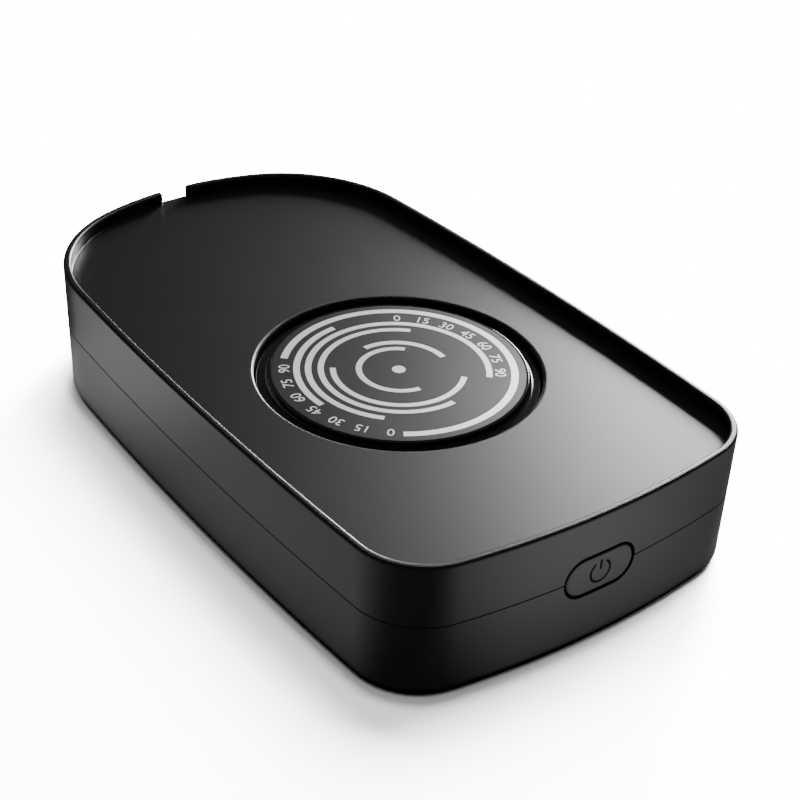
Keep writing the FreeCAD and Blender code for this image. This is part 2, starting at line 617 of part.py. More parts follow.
def deck_ribs():
    """Cross ribs under the deck, clear of the well, the gears and the screws."""
    inside = housing_form(DECK_UNDERSIDE_Z - DECK_RIB_DEPTH, TRAY_Z, WALL / 2)
    collar = WELL_RADIUS + WELL_COLLAR_WALL
    places = (DISC_CENTRE_Y - collar - RIB_THICKNESS, PLATE_REAR_POST_Y + PLATE_MARGIN + RIB_THICKNESS,
              USB_BOARD_FRONT_Y + RIB_THICKNESS)
    ribs = []
    for y in places:
        rib = block(-HOUSING_WIDTH, HOUSING_WIDTH, y - RIB_THICKNESS / 2, y + RIB_THICKNESS / 2,
                    DECK_UNDERSIDE_Z - DECK_RIB_DEPTH, TRAY_Z - DECK_THICKNESS / 2)
        ribs.append(rib.common(inside))
    return ribs


def make_top_cover():
    """The upper shell: side walls, deck with the tray and the well, rim and posts."""
    outer = housing_form(PARTING_Z, RIM_TOP_Z, 0)
    room = housing_form(PARTING_Z - CUT_MARGIN, DECK_UNDERSIDE_Z, WALL)
    tray = housing_form(TRAY_Z, RIM_TOP_Z + CUT_MARGIN, RIM_THICKNESS)
    shell = round_notch_ends(outer.cut(room).cut(tray).cut(cable_notch()))
    shell = shell.makeFillet(RIM_EDGE_ROUND, edges_level_at(shell, RIM_TOP_Z))
    collar_radius = WELL_RADIUS + WELL_COLLAR_WALL
    added = [cylinder(collar_radius, FLANGE_BOTTOM_Z, TRAY_Z - DECK_THICKNESS / 2, (0, DISC_CENTRE_Y))]
    holes = [well_cutter(), button_opening(), usb_opening(),
             lip_ring(PARTING_Z - CUT_MARGIN, PARTING_Z + LIP_HEIGHT + LIP_CLEARANCE, LIP_CLEARANCE)]
    root_z = TRAY_Z - DECK_THICKNESS / 2
    for place in CASE_POST_PLACES:
        added.append(cylinder(COVER_POST_RADIUS, POST_SPLIT_Z, root_z, place))
        pilot = CASE_SCREW[2] + THREAD_CLEARANCE
        pilot_top = HOUSING_BOTTOM_Z + COUNTERBORE_DEPTH + CASE_SCREW[3] + CUT_MARGIN
        holes.append(cylinder(pilot, POST_SPLIT_Z - CUT_MARGIN, pilot_top, place))
    inside = housing_form(PARTING_Z, root_z, WALL / 2)
    gusset_low = PARTING_Z + LIP_HEIGHT + 2 * LIP_CLEARANCE
    for rib in post_gussets(CASE_POST_PLACES, COVER_POST_RADIUS, gusset_low, root_z):
        added.append(rib.common(inside))
    return joined([shell] + added + deck_ribs()).cut(Part.makeCompound(holes))


def make_rubber_feet():
    """Four round feet, let into the floor."""
    feet = []
    for place in FOOT_PLACES:
        foot = cylinder(FOOT_RADIUS, 0, FOOT_THICKNESS, place)
        feet.append(foot.makeChamfer(FOOT_CHAMFER, edges_level_at(foot, 0)))
    return Part.makeCompound(feet)


def make_case_screws():
    """The screws that join the shells, sunk in the underside."""
    seat = HOUSING_BOTTOM_Z + COUNTERBORE_DEPTH
    return Part.makeCompound([screw(CASE_SCREW, place, seat, True) for place in CASE_POST_PLACES])


# ---------------------------------------------------------------- gears

def involute(angle):
    """The involute function of an angle in radians."""
    return math.tan(angle) - angle


def tooth_half_angle(teeth, radius):
    """Half the angle that a tooth takes at a radius, less its share of the backlash."""
    pitch = pitch_radius(teeth)
    pressure = math.radians(PRESSURE_ANGLE)
    base = pitch * math.cos(pressure)
    spread = involute(pressure) - involute(math.acos(min(1, base / radius)))
    return math.pi / (2 * teeth) - BACKLASH / (4 * pitch) + spread


def tooth_radii(teeth, addendum, dedendum):
    """The radii at which the flank of a tooth has a corner, from root to tip."""
    pitch = pitch_radius(teeth)
    base = pitch * math.cos(math.radians(PRESSURE_ANGLE))
    root = pitch - dedendum * GEAR_MODULE
    tip = pitch + addendum * GEAR_MODULE
    foot = [root, base] if root < base else [root]
    return foot + [(foot[-1] + tip) / 2, tip]


def gear_blank(teeth, addendum, dedendum, phase, axis, z_low, z_high):
    """A spur gear with a tooth centred at the angle phase, in radians."""
    radii = tooth_radii(teeth, addendum, dedendum)
    corners = []
    for tooth in range(teeth):
        middle = phase + tooth * 2 * math.pi / teeth
        flank = [(radius, tooth_half_angle(teeth, radius)) for radius in radii]
        for radius, half in flank:
            corners.append((radius, middle - half))
        for radius, half in reversed(flank):
            corners.append((radius, middle + half))
    points = [Vector(axis.x + r * math.cos(a), axis.y + r * math.sin(a), z_low) for r, a in corners]
    wire = Part.makePolygon(points + [points[0]])
    return Part.Face(wire).extrude(UP * (z_high - z_low))


def meshed_phase(phase, teeth, mate_teeth, axis, mate_axis):
    """The phase of a mating gear whose gap faces a tooth of the first gear."""
    towards = bearing_of(mate_axis - axis)
    return towards + math.pi - math.pi / mate_teeth - (phase - towards) * teeth / mate_teeth


TURNTABLE_PHASE = 0.0
FINAL_PINION_PHASE = meshed_phase(TURNTABLE_PHASE, TURNTABLE_TEETH, FINAL_PINION_TEETH,
                                  DISC_AXIS, FINAL_AXIS)
FINAL_WHEEL_PHASE = FINAL_PINION_PHASE
FIRST_PINION_PHASE = meshed_phase(FINAL_WHEEL_PHASE, FINAL_WHEEL_TEETH, FIRST_PINION_TEETH,
                                  FINAL_AXIS, FIRST_AXIS)
FIRST_WHEEL_PHASE = FIRST_PINION_PHASE
MOTOR_PINION_PHASE = meshed_phase(FIRST_WHEEL_PHASE, FIRST_WHEEL_TEETH, PINION_TEETH, FIRST_AXIS, MOTOR_AXIS)


def ring_of_holes(axis, count, circle, radius, z_low, z_high):
    """Upright holes evenly spaced on a circle."""
    holes = []
    for step in range(count):
        centre = step_towards(axis, step * 360.0 / count, circle)
        holes.append(cylinder(radius, z_low, z_high, (centre.x, centre.y)))
    return Part.makeCompound(holes)


def reduction_gear(axis, wheel, pinion, hub_z):
    """A wheel and a pinion on one hub, each given as (teeth, phase, low height)."""
    wheel_teeth, wheel_phase, wheel_z = wheel
    pinion_teeth, pinion_phase, pinion_z = pinion
    wheel_body = gear_blank(wheel_teeth, WHEEL_ADDENDUM, WHEEL_DEDENDUM, wheel_phase, axis,
                            wheel_z, wheel_z + GEAR_FACE)
    holes = ring_of_holes(axis, WHEEL_HOLES, WHEEL_HOLE_CIRCLE, WHEEL_HOLE_RADIUS,
                          wheel_z - CUT_MARGIN, wheel_z + GEAR_FACE + CUT_MARGIN)
    pinion_body = gear_blank(pinion_teeth, PINION_ADDENDUM, PINION_DEDENDUM, pinion_phase, axis,
                             pinion_z, pinion_z + GEAR_FACE)
    top = max(wheel_z, pinion_z) + GEAR_FACE
    place = (axis.x, axis.y)
    hub = cylinder(GEAR_HUB_RADIUS, hub_z, top, place)
    bore = cylinder(GEAR_PIN_RADIUS + GEAR_PIN_CLEARANCE, hub_z - CUT_MARGIN, top + CUT_MARGIN, place)
    return joined([wheel_body.cut(holes), pinion_body, hub]).cut(bore)


def make_final_reduction_gear():
    """The reduction gear that drives the turntable: its pinion low, its wheel high."""
    return reduction_gear(FINAL_AXIS, (FINAL_WHEEL_TEETH, FINAL_WHEEL_PHASE, HIGH_GEAR_Z),
                          (FINAL_PINION_TEETH, FINAL_PINION_PHASE, LOW_GEAR_Z), LOW_GEAR_Z)


def make_first_reduction_gear():
    """The reduction gear that the motor drives: its wheel at middle height, its pinion high."""
    return reduction_gear(FIRST_AXIS, (FIRST_WHEEL_TEETH, FIRST_WHEEL_PHASE, MIDDLE_GEAR_Z),
                          (FIRST_PINION_TEETH, FIRST_PINION_PHASE, HIGH_GEAR_Z), LOW_GEAR_Z)


def make_gear_pins():
    """The two pins that the reduction gears turn on, pressed into the gearbox plate."""
    pins = []
    for axis in (FIRST_AXIS, FINAL_AXIS):
        pins.append(cylinder(GEAR_PIN_RADIUS, PLATE_BOTTOM_Z, HIGH_GEAR_TOP_Z, (axis.x, axis.y)))
    return Part.makeCompound(pins)


def hub_keys(clearance):
    """The keys that turn the turntable gear with the hub."""
    keys = []
    root = (HUB_BORE_RADIUS + HUB_SPIGOT_RADIUS) / 2
    reach = HUB_SPIGOT_RADIUS + HUB_KEY_REACH + clearance
    half = HUB_KEY_WIDTH / 2 + clearance
    for step in range(HUB_KEYS):
        key = block(root, reach, -half, half, LOW_GEAR_Z, LOW_GEAR_Z + GEAR_FACE)
        key.rotate(Vector(0, 0, 0), UP, step * 360.0 / HUB_KEYS)
        key.translate(DISC_AXIS)
        keys.append(key)
    return keys


def make_turntable_gear():
    """The large gear under the disc, keyed to its hub."""
    top = LOW_GEAR_Z + GEAR_FACE
    blank = gear_blank(TURNTABLE_TEETH, WHEEL_ADDENDUM, WHEEL_DEDENDUM, TURNTABLE_PHASE, DISC_AXIS,
                       LOW_GEAR_Z, top)
    place = (0, DISC_CENTRE_Y)
    bore = cylinder(HUB_SPIGOT_RADIUS + KEY_CLEARANCE, LOW_GEAR_Z - CUT_MARGIN, top + CUT_MARGIN, place)
    circle = (HUB_RADIUS + pitch_radius(TURNTABLE_TEETH)) / 2
    holes = ring_of_holes(DISC_AXIS, 2 * HUB_KEYS, circle, WHEEL_HOLE_RADIUS,
                          LOW_GEAR_Z - CUT_MARGIN, top + CUT_MARGIN)
    return blank.cut(Part.makeCompound([bore, holes] + hub_keys(KEY_CLEARANCE)))


# ---------------------------------------------------------------- turntable

def disc_profile():
    """Half of the section of the disc, its flange and its hub, in the plane X-Z."""
    film_z = DISC_TOP_Z - FACE_FILM_THICKNESS
    film_radius = DISC_RADIUS - FACE_FILM_MARGIN
    round_start = DISC_RADIUS + FLANGE_ROUND
    round_middle = FLANGE_ROUND * (1 - math.sqrt(0.5))
    spigot_bottom_z = LOW_GEAR_Z
    spigot_top_z = LOW_GEAR_Z + GEAR_FACE
    before = [(0, FLANGE_BOTTOM_Z), (HUB_BORE_RADIUS, FLANGE_BOTTOM_Z), (HUB_BORE_RADIUS, spigot_bottom_z),
              (HUB_SPIGOT_RADIUS, spigot_bottom_z), (HUB_SPIGOT_RADIUS, spigot_top_z),
              (HUB_RADIUS, spigot_top_z), (HUB_RADIUS, FLANGE_BOTTOM_Z), (FLANGE_RADIUS, FLANGE_BOTTOM_Z),
              (FLANGE_RADIUS, FLANGE_TOP_Z), (round_start, FLANGE_TOP_Z)]
    after = [(DISC_RADIUS, FLANGE_TOP_Z + FLANGE_ROUND), (DISC_RADIUS, DISC_TOP_Z - DISC_EDGE_CHAMFER),
             (DISC_RADIUS - DISC_EDGE_CHAMFER, DISC_TOP_Z), (film_radius, DISC_TOP_Z), (film_radius, film_z),
             (0, film_z), (0, FLANGE_BOTTOM_Z)]
    edges = []
    for points in (before, after):
        for start, end in zip(points, points[1:]):
            edges.append(Part.LineSegment(section_point(start), section_point(end)).toShape())
    middle = (DISC_RADIUS + round_middle, FLANGE_TOP_Z + round_middle)
    corner = Part.Arc(section_point(before[-1]), section_point(middle), section_point(after[0])).toShape()
    return Part.Wire(edges[:len(before) - 1] + [corner] + edges[len(before) - 1:])


def section_point(radius_and_z):
    """A point of a section in the plane X-Z."""
    return Vector(radius_and_z[0], 0, radius_and_z[1])


def core_pockets():
    """The moulding pockets under the disc, between radial ribs."""
    ring = tube(DISC_CORE_OUTER_RADIUS, DISC_CORE_INNER_RADIUS, FLANGE_BOTTOM_Z - CUT_MARGIN,
                FLANGE_BOTTOM_Z + DISC_CORE_DEPTH)
    ribs = []
    for step in range(DISC_CORE_RIBS // 2):
        rib = block(-WELL_RADIUS, WELL_RADIUS, -RIB_THICKNESS / 2, RIB_THICKNESS / 2,
                    FLANGE_BOTTOM_Z - 2 * CUT_MARGIN, FLANGE_TOP_Z + DISC_STEP)
        rib.rotate(Vector(0, 0, 0), UP, step * 360.0 / DISC_CORE_RIBS)
        ribs.append(rib)
    pockets = ring.cut(Part.makeCompound(ribs))
    pockets.translate(DISC_AXIS)
    return pockets


def make_turntable_disc():
    """The disc with its lower flange, its hub and the keys of its gear."""
    disc = Part.Face(disc_profile()).revolve(Vector(0, 0, 0), UP, 360)
    disc.translate(DISC_AXIS)
    disc = joined([disc] + hub_keys(0))
    hole = cylinder(AXLE_RADIUS, FLANGE_BOTTOM_Z - CUT_MARGIN, FLANGE_BOTTOM_Z + AXLE_TOP_SINK,
                    (0, DISC_CENTRE_Y))
    return disc.cut(Part.makeCompound([core_pockets(), hole]))


def make_disc_face():
    """The printed film let into the top of the disc."""
    radius = DISC_RADIUS - FACE_FILM_MARGIN - FACE_FILM_CLEARANCE
    return cylinder(radius, DISC_TOP_Z - FACE_FILM_THICKNESS, DISC_TOP_Z, (0, DISC_CENTRE_Y))


CLIP_TOP_Z = PIVOT_POST_BOTTOM_Z - CLIP_GAP
CLIP_BOTTOM_Z = CLIP_TOP_Z - CLIP_THICKNESS


def make_turntable_axle():
    """The steel axle of the turntable, with the groove of its clip."""
    place = (0, DISC_CENTRE_Y)
    axle = cylinder(AXLE_RADIUS, PIVOT_POST_BOTTOM_Z - AXLE_TAIL, FLANGE_BOTTOM_Z + AXLE_TOP_SINK, place)
    groove = tube(AXLE_RADIUS + CUT_MARGIN, AXLE_RADIUS - CLIP_GROOVE_DEPTH, CLIP_BOTTOM_Z, CLIP_TOP_Z, place)
    return axle.cut(groove)


def make_axle_clip():
    """The open clip in the groove of the axle."""
    place = (0, DISC_CENTRE_Y)
    clip = tube(CLIP_RADIUS, AXLE_RADIUS - CLIP_GROOVE_DEPTH, CLIP_BOTTOM_Z, CLIP_TOP_Z, place)
    mouth = block(-CLIP_MOUTH / 2, CLIP_MOUTH / 2, DISC_CENTRE_Y, DISC_CENTRE_Y + CLIP_RADIUS + CUT_MARGIN,
                  CLIP_BOTTOM_Z, CLIP_TOP_Z)
    return clip.cut(mouth)


def make_thrust_washer():
    """The washer that the disc turns on, on top of the pivot post."""
    return tube(PIVOT_POST_RADIUS, AXLE_RADIUS + AXLE_CLEARANCE * 2, PIVOT_POST_TOP_Z,
                PIVOT_POST_TOP_Z + WASHER_THICKNESS, (0, DISC_CENTRE_Y))


# ---------------------------------------------------------------- gearbox plate

def make_gearbox_plate():
    """The plate that carries the pivot post, the gear pins and the motor."""
    plate = rounded_plate(-PLATE_POST_X - PLATE_MARGIN, PLATE_POST_X + PLATE_MARGIN,
                          PLATE_FRONT_POST_Y - PLATE_MARGIN, PLATE_REAR_POST_Y + PLATE_MARGIN,
                          PLATE_CORNER_RADIUS, PLATE_BOTTOM_Z, PLATE_TOP_Z)
    place = (0, DISC_CENTRE_Y)
    post = cylinder(PIVOT_POST_RADIUS, PIVOT_POST_BOTTOM_Z, PIVOT_POST_TOP_Z, place)
    low = PIVOT_POST_BOTTOM_Z - CUT_MARGIN
    high = PIVOT_POST_TOP_Z + CUT_MARGIN
    holes = [cylinder(AXLE_RADIUS + AXLE_CLEARANCE, low, high, place),
             cylinder(MOTOR_BOSS_RADIUS + MOTOR_HOLE_CLEARANCE, low, high, (MOTOR_AXIS.x, MOTOR_AXIS.y))]
    for axis in (FIRST_AXIS, FINAL_AXIS):
        holes.append(cylinder(GEAR_PIN_RADIUS, low, high, (axis.x, axis.y)))
    for place in MOTOR_SCREW_PLACES:
        holes.append(cylinder(MOTOR_SCREW[2] + SHANK_CLEARANCE, low, high, place))
    for place in PLATE_POST_PLACES:
        holes.append(cylinder(PLATE_SCREW[2] + SHANK_CLEARANCE, low, high, place))
    for side in (-1, 1):
        waist_x = side * (PLATE_POST_X + PLATE_MARGIN - PLATE_WAIST_DEPTH + PLATE_WAIST_RADIUS)
        holes.append(cylinder(PLATE_WAIST_RADIUS, low, high, (waist_x, PLATE_WAIST_Y)))
    return joined([plate, post]).cut(Part.makeCompound(holes))


def make_gearbox_screws():
    """The screws of the gearbox plate."""
    return Part.makeCompound([screw(PLATE_SCREW, place, PLATE_TOP_Z, False) for place in PLATE_POST_PLACES])


# ---------------------------------------------------------------- motor

MOTOR_PLACE = (MOTOR_AXIS.x, MOTOR_AXIS.y)
MOTOR_INNER_RADIUS = MOTOR_RADIUS - MOTOR_WALL
END_CAP_TOP_Z = MOTOR_BOTTOM_Z + MOTOR_END_CAP_THICKNESS
MOTOR_ROOM_TOP_Z = PLATE_BOTTOM_Z - MOTOR_WALL
MOTOR_MIDDLE_Z = (END_CAP_TOP_Z + MOTOR_ROOM_TOP_Z) / 2


def terminal_strips(clearance):
    """The two flat terminals, or with a clearance the slots that they leave through."""
    strips = []
    for side in (-1, 1):
        x = MOTOR_AXIS.x + side * TERMINAL_SPREAD
        half = TERMINAL_WIDTH / 2 + clearance
        rear = MOTOR_AXIS.y - MOTOR_INNER_RADIUS + TERMINAL_ROOT + clearance
        strips.append(block(x - half, x + half, TERMINAL_TIP_Y, rear,
                            TERMINAL_Z - clearance, TERMINAL_Z + TERMINAL_THICKNESS + clearance))
    return strips


def make_motor_can():
    """The drawn can of the motor, with its front bearing boss."""
    can = cylinder(MOTOR_RADIUS, MOTOR_BOTTOM_Z, PLATE_BOTTOM_Z, MOTOR_PLACE)
    crown = edges_level_at(can, PLATE_BOTTOM_Z)
    can = can.makeFillet(MOTOR_WALL, crown)
    boss = cylinder(MOTOR_BOSS_RADIUS, PLATE_BOTTOM_Z, PLATE_BOTTOM_Z + MOTOR_BOSS_HEIGHT, MOTOR_PLACE)
    room = cylinder(MOTOR_INNER_RADIUS, MOTOR_BOTTOM_Z - CUT_MARGIN, MOTOR_ROOM_TOP_Z, MOTOR_PLACE)
    top = PLATE_BOTTOM_Z + MOTOR_BOSS_HEIGHT + CUT_MARGIN
    bearing = MOTOR_SHAFT_RADIUS + MOTOR_SHAFT_CLEARANCE
    holes = [room, cylinder(bearing, MOTOR_ROOM_TOP_Z - CUT_MARGIN, top, MOTOR_PLACE)]
    for place in MOTOR_SCREW_PLACES:
        holes.append(cylinder(MOTOR_SCREW[2] + THREAD_CLEARANCE, MOTOR_ROOM_TOP_Z - CUT_MARGIN, top, place))
    return joined([can, boss]).cut(Part.makeCompound(holes + terminal_strips(MOTOR_HOLE_CLEARANCE)))


def make_motor_end_cap():
    """The end cap of the motor, with its blind rear bearing."""
    radius = MOTOR_INNER_RADIUS - MAGNET_GAP
    cap = cylinder(radius, MOTOR_BOTTOM_Z, END_CAP_TOP_Z, MOTOR_PLACE)
    boss = cylinder(MOTOR_BOSS_RADIUS, FLOOR_TOP_Z, MOTOR_BOTTOM_Z, MOTOR_PLACE)
    bearing = cylinder(MOTOR_SHAFT_RADIUS + MOTOR_SHAFT_CLEARANCE, FLOOR_TOP_Z + MOTOR_SHAFT_FLOOR,
                       END_CAP_TOP_Z + CUT_MARGIN, MOTOR_PLACE)
    return joined([cap, boss]).cut(Part.makeCompound([bearing] + terminal_strips(0)))


def make_motor_terminals():
    """The two terminals of the motor."""
    return Part.makeCompound(terminal_strips(0))


def make_motor_magnets():
    """The two arc magnets inside the can."""
    outer = MOTOR_INNER_RADIUS - MAGNET_GAP
    low = MOTOR_MIDDLE_Z - MAGNET_HEIGHT / 2
    high = MOTOR_MIDDLE_Z + MAGNET_HEIGHT / 2
    ring = tube(outer, outer - MAGNET_THICKNESS, low, high, MOTOR_PLACE)
    split = block(MOTOR_AXIS.x - MAGNET_SPLIT / 2, MOTOR_AXIS.x + MAGNET_SPLIT / 2,
                  MOTOR_AXIS.y - MOTOR_RADIUS, MOTOR_AXIS.y + MOTOR_RADIUS, low, high)
    return ring.cut(split)


def make_motor_armature():
    """The slotted armature with its commutator, on the shaft."""
    radius = MOTOR_INNER_RADIUS - MAGNET_GAP - MAGNET_THICKNESS - ARMATURE_GAP
    low = MOTOR_MIDDLE_Z - ARMATURE_HEIGHT / 2
    high = MOTOR_MIDDLE_Z + ARMATURE_HEIGHT / 2
    core = cylinder(radius, low, high)
    slots = []
    for step in range(ARMATURE_POLES):
        slot = block(ARMATURE_CORE_RADIUS, MOTOR_RADIUS, -ARMATURE_SLOT / 2, ARMATURE_SLOT / 2,
                     low, high)
        slot.rotate(Vector(0, 0, 0), UP, step * 360.0 / ARMATURE_POLES)
        slots.append(slot)
    commutator = cylinder(COMMUTATOR_RADIUS, END_CAP_TOP_Z + GEAR_GAP, low)
    body = joined([core.cut(Part.makeCompound(slots)), commutator])
    body.translate(MOTOR_AXIS)
    return body.cut(cylinder(MOTOR_SHAFT_RADIUS, MOTOR_BOTTOM_Z, high + CUT_MARGIN, MOTOR_PLACE))


def make_motor_shaft():
    """The motor's shaft, from the rear bearing to the end of the pinion."""
    low = FLOOR_TOP_Z + MOTOR_SHAFT_FLOOR + MOTOR_SHAFT_CLEARANCE
    return cylinder(MOTOR_SHAFT_RADIUS, low, MIDDLE_GEAR_Z + GEAR_FACE + PINION_HEIGHT_EXTRA, MOTOR_PLACE)


def make_motor_pinion():
    """The pinion on the motor's shaft."""
    low = MIDDLE_GEAR_Z - PINION_HEIGHT_EXTRA
    high = MIDDLE_GEAR_Z + GEAR_FACE + PINION_HEIGHT_EXTRA
    blank = gear_blank(PINION_TEETH, PINION_ADDENDUM, PINION_DEDENDUM, MOTOR_PINION_PHASE,
                       MOTOR_AXIS, low, high)
    return blank.cut(cylinder(MOTOR_SHAFT_RADIUS, low - CUT_MARGIN, high + CUT_MARGIN, MOTOR_PLACE))


def make_motor_screws():
    """The two screws that hold the motor under the plate."""
    return Part.makeCompound([screw(MOTOR_SCREW, place, PLATE_TOP_Z, False) for place in MOTOR_SCREW_PLACES])


# ---------------------------------------------------------------- power button and switch

def make_power_button():
    """The button: its cap follows the bow of the front face, with a flange and a stem behind."""
    y_front = -HOUSING_LENGTH / 2 - CUT_MARGIN
    cap = stadium(BUTTON_WIDTH, BUTTON_HEIGHT, y_front, BUTTON_FLANGE_Y, BUTTON_Z)
    cap = cap.common(housing_form(HOUSING_BOTTOM_Z, RIM_TOP_Z, 0))
    front_edges = [edge for edge in cap.Edges if edge.BoundBox.YMax < WALL_INNER_FRONT_Y - WALL / 2]
    cap = cap.makeFillet(BUTTON_EDGE_ROUND, front_edges)
    flange = stadium(BUTTON_WIDTH + 2 * BUTTON_FLANGE_OVERHANG, BUTTON_HEIGHT + 2 * BUTTON_FLANGE_OVERHANG,
                     BUTTON_FLANGE_Y, BUTTON_STEM_Y, BUTTON_Z)
    stem = Part.makeCylinder(BUTTON_STEM_RADIUS, BUTTON_STEM_LENGTH,
                             Vector(0, BUTTON_STEM_Y, BUTTON_Z), BACKWARDS)
    return joined([cap, flange, stem])


def make_switch_plunger():
    """The plunger of the push switch, which the button's stem pushes."""
    length = SWITCH_PLUNGER_REACH + SWITCH_PLUNGER_ROOT
    return Part.makeCylinder(SWITCH_PLUNGER_RADIUS, length, Vector(0, PLUNGER_TIP_Y, BUTTON_Z), BACKWARDS)


def make_push_switch():
    """The body of the push switch, bored for its plunger."""
    body = block(-SWITCH_WIDTH / 2, SWITCH_WIDTH / 2, SWITCH_FRONT_Y, SWITCH_FRONT_Y + SWITCH_DEPTH,
                 BOARD_TOP_Z, BOARD_TOP_Z + SWITCH_HEIGHT)
    depth = SWITCH_PLUNGER_ROOT + BUTTON_TRAVEL + SWITCH_BORE_CLEARANCE
    bore = Part.makeCylinder(SWITCH_PLUNGER_RADIUS + SWITCH_BORE_CLEARANCE, depth + CUT_MARGIN,
                             Vector(0, SWITCH_FRONT_Y - CUT_MARGIN, BUTTON_Z), BACKWARDS)
    return body.cut(bore)


# ---------------------------------------------------------------- circuit boards

def make_main_board():
    """The circuit board behind the power button."""
    board = rounded_plate(-BOARD_HALF_WIDTH, BOARD_HALF_WIDTH, BOARD_FRONT_Y, BOARD_REAR_Y,
                          BOARD_CORNER_RADIUS, BOARD_BOTTOM_Z, BOARD_TOP_Z)
    holes = []
    for place in BOARD_HOLE_PLACES:
        holes.append(cylinder(BOARD_SCREW[2] + SHANK_CLEARANCE, BOARD_BOTTOM_Z - CUT_MARGIN,
                              BOARD_TOP_Z + CUT_MARGIN, place))
    return board.cut(Part.makeCompound(holes))


def make_board_screws():
    """The screws of the main board."""
    return Part.makeCompound([screw(BOARD_SCREW, place, BOARD_TOP_Z, False) for place in BOARD_HOLE_PLACES])


def on_board(size, place):
    """A block on the main board, placed from the middle of its front edge."""
    return centred_block(size, place[0], BOARD_FRONT_Y + place[1], BOARD_TOP_Z)


def make_storage_capacitor():
    """The upright can of the storage capacitor."""
    place = (BOARD_HALF_WIDTH - CAPACITOR_INSET[0], BOARD_FRONT_Y + CAPACITOR_INSET[1])
    can = cylinder(CAPACITOR_RADIUS, BOARD_TOP_Z, BOARD_TOP_Z + CAPACITOR_HEIGHT, place)
    return can.makeFillet(CAPACITOR_EDGE_ROUND, edges_level_at(can, BOARD_TOP_Z + CAPACITOR_HEIGHT))


def make_board_sockets():
    """The two sockets at the rear of the board, for the power leads and the motor leads."""
    sockets = []
    for x in (POWER_SOCKET_X, MOTOR_SOCKET_X):
        sockets.append(centred_block(SOCKET_SIZE, x, SOCKET_REAR_Y - SOCKET_SIZE[1] / 2, BOARD_TOP_Z))
    return Part.makeCompound(sockets)


def make_usb_board():
    """The small circuit board of the USB-C inlet."""
    board = block(-USB_BOARD_WIDTH / 2, USB_BOARD_WIDTH / 2, USB_BOARD_FRONT_Y, USB_BOARD_REAR_Y,
                  USB_BOARD_BOTTOM_Z, USB_BOARD_TOP_Z)
    holes = []
    for place in USB_HOLE_PLACES:
        holes.append(cylinder(BOARD_SCREW[2] + SHANK_CLEARANCE, USB_BOARD_BOTTOM_Z - CUT_MARGIN,
                              USB_BOARD_TOP_Z + CUT_MARGIN, place))
    return board.cut(Part.makeCompound(holes))


def make_usb_board_screws():
    """The screws of the inlet's board."""
    return Part.makeCompound([screw(BOARD_SCREW, place, USB_BOARD_TOP_Z, False) for place in USB_HOLE_PLACES])


def make_usb_shell():
    """The metal shell of the USB-C inlet."""
    outer = stadium(USB_WIDTH, USB_HEIGHT, USB_MOUTH_Y - USB_LENGTH, USB_MOUTH_Y, USB_Z)
    inner = stadium(USB_WIDTH - 2 * USB_WALL, USB_HEIGHT - 2 * USB_WALL,
                    USB_MOUTH_Y - USB_LENGTH - CUT_MARGIN, USB_MOUTH_Y + CUT_MARGIN, USB_Z)
    return outer.cut(inner)


def make_usb_tongue():
    """The insulating base and tongue inside the inlet's shell."""
    rear = USB_MOUTH_Y - USB_LENGTH
    base = stadium(USB_WIDTH - 2 * USB_WALL, USB_HEIGHT - 2 * USB_WALL, rear, rear + USB_BASE_DEPTH, USB_Z)
    width, length, thickness = USB_TONGUE_SIZE
    tongue = block(-width / 2, width / 2, rear + USB_BASE_DEPTH, rear + USB_BASE_DEPTH + length,
                   USB_Z - thickness / 2, USB_Z + thickness / 2)
    return joined([base, tongue])


# ---------------------------------------------------------------- leads

# The routes of the two pairs of leads, along the middle of each pair. The first and the last run
# are level and point straight along Y, so that the ends meet what they are soldered or plugged to.
LEAD_END_RUN = 3.2
POWER_START_Z = USB_BOARD_TOP_Z - LEAD_DIAMETER / 2
POWER_ROUTE = [
    (0.0, USB_BOARD_FRONT_Y, POWER_START_Z),
    (0.0, USB_BOARD_FRONT_Y - LEAD_END_RUN, POWER_START_Z),
    (-5.6, PLATE_REAR_POST_Y + 5.2, 10.8),
    (-11.6, PLATE_REAR_POST_Y + 2.4, 10.2),
    (-13.2, PLATE_REAR_POST_Y - 3.6, 9.6),
    (-15.7, MOTOR_AXIS.y, 9.2),
    (-18.6, 14.0, 7.2),
    (-22.4, 0.0, 6.2),
    (-23.6, -11.0, 6.6),
    (-20.0, -21.4, 9.4),
    (POWER_SOCKET_X - 1.0, -26.4, SOCKET_LEAD_Z - 1.2),
    (POWER_SOCKET_X, SOCKET_REAR_Y + LEAD_END_RUN, SOCKET_LEAD_Z),
    (POWER_SOCKET_X, SOCKET_REAR_Y, SOCKET_LEAD_Z),
]
MOTOR_START_Z = TERMINAL_Z + TERMINAL_THICKNESS / 2
MOTOR_ROUTE = [
    (MOTOR_AXIS.x, TERMINAL_TIP_Y, MOTOR_START_Z),
    (MOTOR_AXIS.x, TERMINAL_TIP_Y - LEAD_END_RUN, MOTOR_START_Z),
    (2.4, 1.8, 5.0),
    (7.4, -6.4, 5.4),
    (10.6, -16.4, 7.4),
    (MOTOR_SOCKET_X + 0.8, -25.6, SOCKET_LEAD_Z - 1.6),
    (MOTOR_SOCKET_X, SOCKET_REAR_Y + LEAD_END_RUN, SOCKET_LEAD_Z),
    (MOTOR_SOCKET_X, SOCKET_REAR_Y, SOCKET_LEAD_Z),
]


def level_normal(start, end):
    """The level direction to the left of a run, seen from above."""
    along = Vector(end.x - start.x, end.y - start.y, 0)
    return Vector(-along.y, along.x, 0) * (1 / along.Length)


